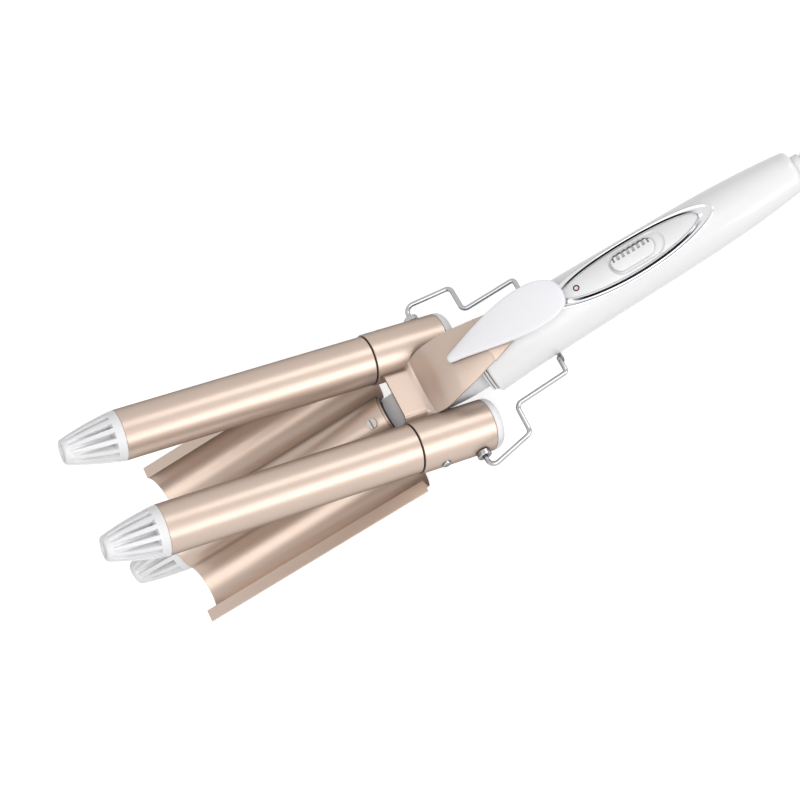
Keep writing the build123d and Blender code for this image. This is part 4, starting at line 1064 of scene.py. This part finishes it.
def light():
    seat = on_top(LED_STATION, 0, 0)
    ring = lathe(seat, (0, 0, 1), LED_RING_OUTLINE, 48)
    lens = lathe(seat, (0, 0, 1), LED_LENS_OUTLINE, 48)
    build("light_ring", [ring], LED_RED, "handle", ["indicator_ring"], bevel=0.08)
    build("light_lens", [lens], LED_LENS, "handle", ["indicator_led"], sharp=60)


def knob():
    """The switch's crowned tile, with a row of moulded ribs and a groove along its back."""
    end = KNOB_LENGTH / 2
    rows = []
    for x in steps(KNOB_STATION - end, KNOB_STATION + end, 132):
        off = abs(x - KNOB_STATION)
        past = max(off - (KNOB_LENGTH - KNOB_WIDTH) / 2, 0.0)
        half = sqrt(max((KNOB_WIDTH / 2) ** 2 - past**2, 0.0))
        wave = 0.5 + 0.5 * cos(2 * pi * off / KNOB_RIB_PITCH)
        ribs = KNOB_RIB_DEPTH * (1 - smooth_step(wave * 1.5 - 0.1))
        ribs *= smooth_step((KNOB_RIB_SPAN - off) / KNOB_RIB_END)
        wide = CRESCENT_WIDTH * sqrt(max(1 - (off / (end - 0.6)) ** 2, 0.0))
        row = [on_top(x, half, -KNOB_SKIRT)]
        for y in steps(half, -half, 60):
            edge = min(half - abs(y), end - off)
            rounded = rounding_inset(edge, KNOB_ROUND)
            groove = ribs * smooth_step((y - KNOB_RIB_START) / KNOB_RIB_END)
            inward = half - y - CRESCENT_INSET
            crescent = smooth_step(inward / CRESCENT_WALL)
            crescent *= smooth_step((wide - inward) / CRESCENT_WALL)
            cut = max(groove, CRESCENT_DEPTH * crescent)
            row.append(on_top(x, y, KNOB_PROUD - rounded - cut))
        row.append(on_top(x, -half, -KNOB_SKIRT))
        rows.append(row)
    build("switch_tile", [skin(rows)], SWITCH_WHITE, "switch", ["switch_knob"], sharp=60)


shells()
collar_ring()
panel()
bezel()
trim()
light()
knob()

# ---- Strain relief, cord, coil, tie and plug ----

RELIEF_LENGTH = 45.0
RELIEF_HEAD = 4.0
RELIEF_R = 6.4
RELIEF_TAPER = 0.3  # from ring to ring
RELIEF_RINGS = 8
RELIEF_GROOVE = 1.1
RELIEF_PITCH = (RELIEF_LENGTH - RELIEF_HEAD) / RELIEF_RINGS
RELIEF_SEAT = [
    (-3.0, 0.1), (-3.0, 5.2), (0.05, 5.2), (0.05, 6.1), (0.3, RELIEF_R), (3.7, RELIEF_R),
    (RELIEF_HEAD, 6.1),
]

CORD_R = 3.0
CORD_START_HEIGHT = HANDLE_RISE + HINGE.z / MM
# stations from the strain relief's end, places across and heights above the floor
CORD_ROUTE = (
    (0.0, 0.0, CORD_START_HEIGHT), (12.0, 0.0, CORD_START_HEIGHT), (29.0, 0.8, 18.0),
    (45.0, 2.4, 11.8), (62.0, 3.2, 6.0), (78.0, 2.5, 4.0),
)
TAIL_ROUTE = (
    (78.0, -79.6, 15.7), (66.0, -80.1, 13.2), (54.0, -80.4, 8.6), (44.0, -80.0, 6.75),
    (36.0, -80.0, 6.75),
)
COIL_X = 83.0
COIL_Y = -38.5
COIL_FLOOR = 4.0
COIL_LAYER = 6.0
# each turn's radius and layer
TURNS = ((41, 0), (35, 0), (29, 0), (29, 1), (35, 1), (41, 1), (35, 2), (41, 2))
TURN_POINTS = 16
COIL_TURNS = 7.5
COIL_CROSSING = 0.3  # the share of a turn in which the cord moves over to the next

# place from the cord's end, half width, half height, roundness
PLUG_PROFILE = (
    (0.0, 3.6, 3.6, 1.0), (-0.4, 4.2, 4.2, 1.0), (-7.0, 4.4, 4.4, 1.0), (-9.5, 6.0, 5.2, 0.9),
    (-12.0, 11.0, 6.0, 0.6), (-15.0, 14.6, 6.5, 0.45), (-20.0, 16.2, 6.75, 0.35),
    (-34.0, 16.5, 6.75, 0.3), (-42.5, 16.5, 6.75, 0.3), (-43.6, 16.1, 6.4, 0.3),
    (-44.0, 15.4, 5.8, 0.3),
)
PIN_SPACING = 9.5  # from the plug's middle
PIN_OUTLINE = [(-0.5, 0.05), (-0.5, 2.0), (17.6, 2.0), (18.5, 1.5), (19.0, 0.7), (19.0, 0.05)]

TIE_REACH = 9.0
# place across the strip, how far it stands out
TIE_PROFILE = ((-4.5, 0.0), (-4.3, 0.95), (4.3, 0.95), (4.5, 0.0))


def strain_relief():
    outline = list(RELIEF_SEAT)
    for ring in range(RELIEF_RINGS):
        start = RELIEF_HEAD + ring * RELIEF_PITCH
        outer = RELIEF_R - RELIEF_TAPER * (ring + 1)
        outline += [
            (start + 0.05, outer - RELIEF_GROOVE),
            (start + 0.3 * RELIEF_PITCH, outer - RELIEF_GROOVE),
            (start + 0.36 * RELIEF_PITCH, outer - 0.3),
            (start + 0.46 * RELIEF_PITCH, outer),
            (start + 0.86 * RELIEF_PITCH, outer),
            (start + 0.97 * RELIEF_PITCH, outer - 0.3),
        ]
    outline += [(RELIEF_LENGTH, 3.4), (RELIEF_LENGTH, 0.1)]
    shape = lathe(base(HANDLE_END, 0, HANDLE_RISE), (1, 0, 0), outline, 72)
    build("strain_relief_sleeve", [shape], CORD_WHITE, "handle", ["strain_relief"], sharp=60)


def cord_point(x, y, height):
    return Vector((HINGE.x + (HANDLE_END + RELIEF_LENGTH + x) * MM, y * MM, height * MM))


def coil_points():
    """The coil's turns, laid beside and on each other."""
    points = []
    for step in range(1, int(COIL_TURNS * TURN_POINTS)):
        turn, part = divmod(step, TURN_POINTS)
        this_r, this_layer = TURNS[turn]
        next_r, next_layer = TURNS[min(turn + 1, len(TURNS) - 1)]
        move = smooth_step((part / TURN_POINTS - 1 + COIL_CROSSING) / COIL_CROSSING)
        radius = this_r + (next_r - this_r) * move
        layer = this_layer + (next_layer - this_layer) * move
        angle = pi / 2 - 2 * pi * step / TURN_POINTS
        x = COIL_X + radius * cos(angle)
        y = COIL_Y + radius * sin(angle)
        points.append(cord_point(x, y, COIL_FLOOR + COIL_LAYER * layer))
    return points


def cord():
    start = [cord_point(*spot) for spot in CORD_ROUTE]
    tail = [cord_point(*spot) for spot in TAIL_ROUTE]
    piece, spline = round_curve("mains_cord", "NURBS", start + coil_points() + tail, CORD_R, 6)
    piece.data.resolution_u = 8
    spline.order_u = 3
    spline.use_endpoint_u = True
    dress(piece, CORD_WHITE, "handle", ["cord", "cord_coil", "cord_tail"])
    return piece, start[0]


def soft_box_row(centre, x, half_y, half_z, power):
    """A soft-cornered outline across X."""
    row = []
    for turn in turns(64):
        y = half_y * signed_power(cos(turn), power)
        z = half_z * signed_power(sin(turn), power)
        row.append(centre + Vector((x, y, z)) * MM)
    return row


def plug():
    seat = cord_point(*TAIL_ROUTE[-1])
    shape = skin([soft_box_row(seat, *row) for row in PLUG_PROFILE], looped=True, capped=True)
    body = build("plug_moulding", [shape], PLUG_WHITE, "handle", ["plug_body"], sharp=55, bevel=0.2)
    pins = []
    for sign in SIDES.values():
        foot = seat + Vector((PLUG_PROFILE[-1][0], sign * PIN_SPACING, 0)) * MM
        pins.append(lathe(foot, (-1, 0, 0), PIN_OUTLINE, 40))
    contacts = build("plug_contacts", pins, PIN, "handle", ["plug_pins"], sharp=50)
    return body, contacts


def tie():
    """The strip that holds the coil together."""
    centre = cord_point(COIL_X + TURNS[1][0], COIL_Y, COIL_FLOOR + COIL_LAYER)
    rows = []
    for y, grow in TIE_PROFILE:
        row = []
        for turn in turns(80):
            x = (TIE_REACH + grow) * signed_power(cos(turn), 0.5)
            z = (TIE_REACH + grow) * signed_power(sin(turn), 0.5)
            row.append(centre + Vector((x, y, z)) * MM)
        rows.append(row)
    return build("coil_strap", [skin(rows, looped=True)], TIE, "handle", ["cord_tie"], sharp=60)


strain_relief()
cable, cable_exit = cord()
plug_body, plug_contacts = plug()
strap = tie()
tuple(cable_exit)

# ---- Floor, light and camera ----

FLOOR_SIZE = 14  # metres
FLOOR_GREY = (0.5, 0.5, 0.5, 1)
FLOOR_GLOW = 0.76  # lifts the grey floor to white where it is seen directly
ROOM_LIGHT = 0.42
WHITE = (1, 1, 1, 1)

AIM = (-0.03, 0, 0.05)
# place, power in watts, width and height in metres
LAMPS = {
    "key": ((0.72, -0.92, 0.42), 4.8, 0.9, 0.4),
    "side": ((1.0, 0.25, 0.75), 3.0, 0.4, 0.9),
    "top": ((-0.3, -0.7, 1.2), 8.4, 1.2, 1.2),
}

CAMERA_LENS = 82.55
CAMERA_PLACE = (0.07365, -0.3738, 0.8527)
CAMERA_RIGHT = Vector((0.84456, -0.42716, -0.32288))
CAMERA_UP = Vector((0.51766, 0.80552, 0.28837))


def seen_directly(tree):
    """1 for camera, glossy and transmitted rays."""
    path = add(tree, "LightPath", {}).outputs
    seen = reckon(tree, "MAXIMUM", path["Is Camera Ray"], path["Is Glossy Ray"])
    return reckon(tree, "MAXIMUM", seen, path["Is Transmission Ray"])


def floor():
    bpy.ops.mesh.primitive_plane_add(size=FLOOR_SIZE, location=(0, 0, 0))
    plane = bpy.context.object
    plane.name = "floor"
    material = bpy.data.materials.new("floor_white")
    material.use_nodes = True
    tree = material.node_tree
    tree.nodes.clear()
    lit = add(tree, "BsdfDiffuse", {"Color": FLOOR_GREY}).outputs[0]
    glow = add(tree, "Emission", {"Strength": FLOOR_GLOW}).outputs[0]
    seen = add(tree, "AddShader", {0: lit, 1: glow}).outputs[0]
    mix = add(tree, "MixShader", {0: seen_directly(tree), 1: lit, 2: seen}).outputs[0]
    add(tree, "OutputMaterial", {"Surface": mix})
    plane.data.materials.append(material)


def world():
    scene_world = bpy.data.worlds.new("studio")
    bpy.context.scene.world = scene_world
    scene_world.use_nodes = True
    tree = scene_world.node_tree
    tree.nodes.clear()
    room = add(tree, "Background", {"Color": WHITE, "Strength": ROOM_LIGHT}).outputs[0]
    backdrop = add(tree, "Background", {"Color": WHITE, "Strength": 1.0}).outputs[0]
    mix = add(tree, "MixShader", {0: seen_directly(tree), 1: room, 2: backdrop}).outputs[0]
    add(tree, "OutputWorld", {"Surface": mix})


def lamp(name, place, power, size_x, size_y):
    data = bpy.data.lights.new(name, "AREA")
    data.shape = "RECTANGLE"
    data.size = size_x
    data.size_y = size_y
    data.energy = power
    light = bpy.data.objects.new(name, data)
    light.location = place
    light.rotation_euler = (Vector(AIM) - Vector(place)).to_track_quat("-Z", "Y").to_euler()
    bpy.context.collection.objects.link(light)


def camera():
    data = bpy.data.cameras.new("camera")
    data.sensor_width = 36.0
    data.lens = CAMERA_LENS
    data.clip_start = 0.01
    view = bpy.data.objects.new("camera", data)
    turned = Matrix((CAMERA_RIGHT, CAMERA_UP, CAMERA_RIGHT.cross(CAMERA_UP))).transposed()
    view.matrix_world = Matrix.Translation(CAMERA_PLACE) @ turned.to_4x4()
    bpy.context.collection.objects.link(view)
    bpy.context.scene.camera = view


floor()
world()
for name, row in LAMPS.items():
    lamp(name, *row)
camera()

bpy.context.scene.view_settings.view_transform = "Standard"
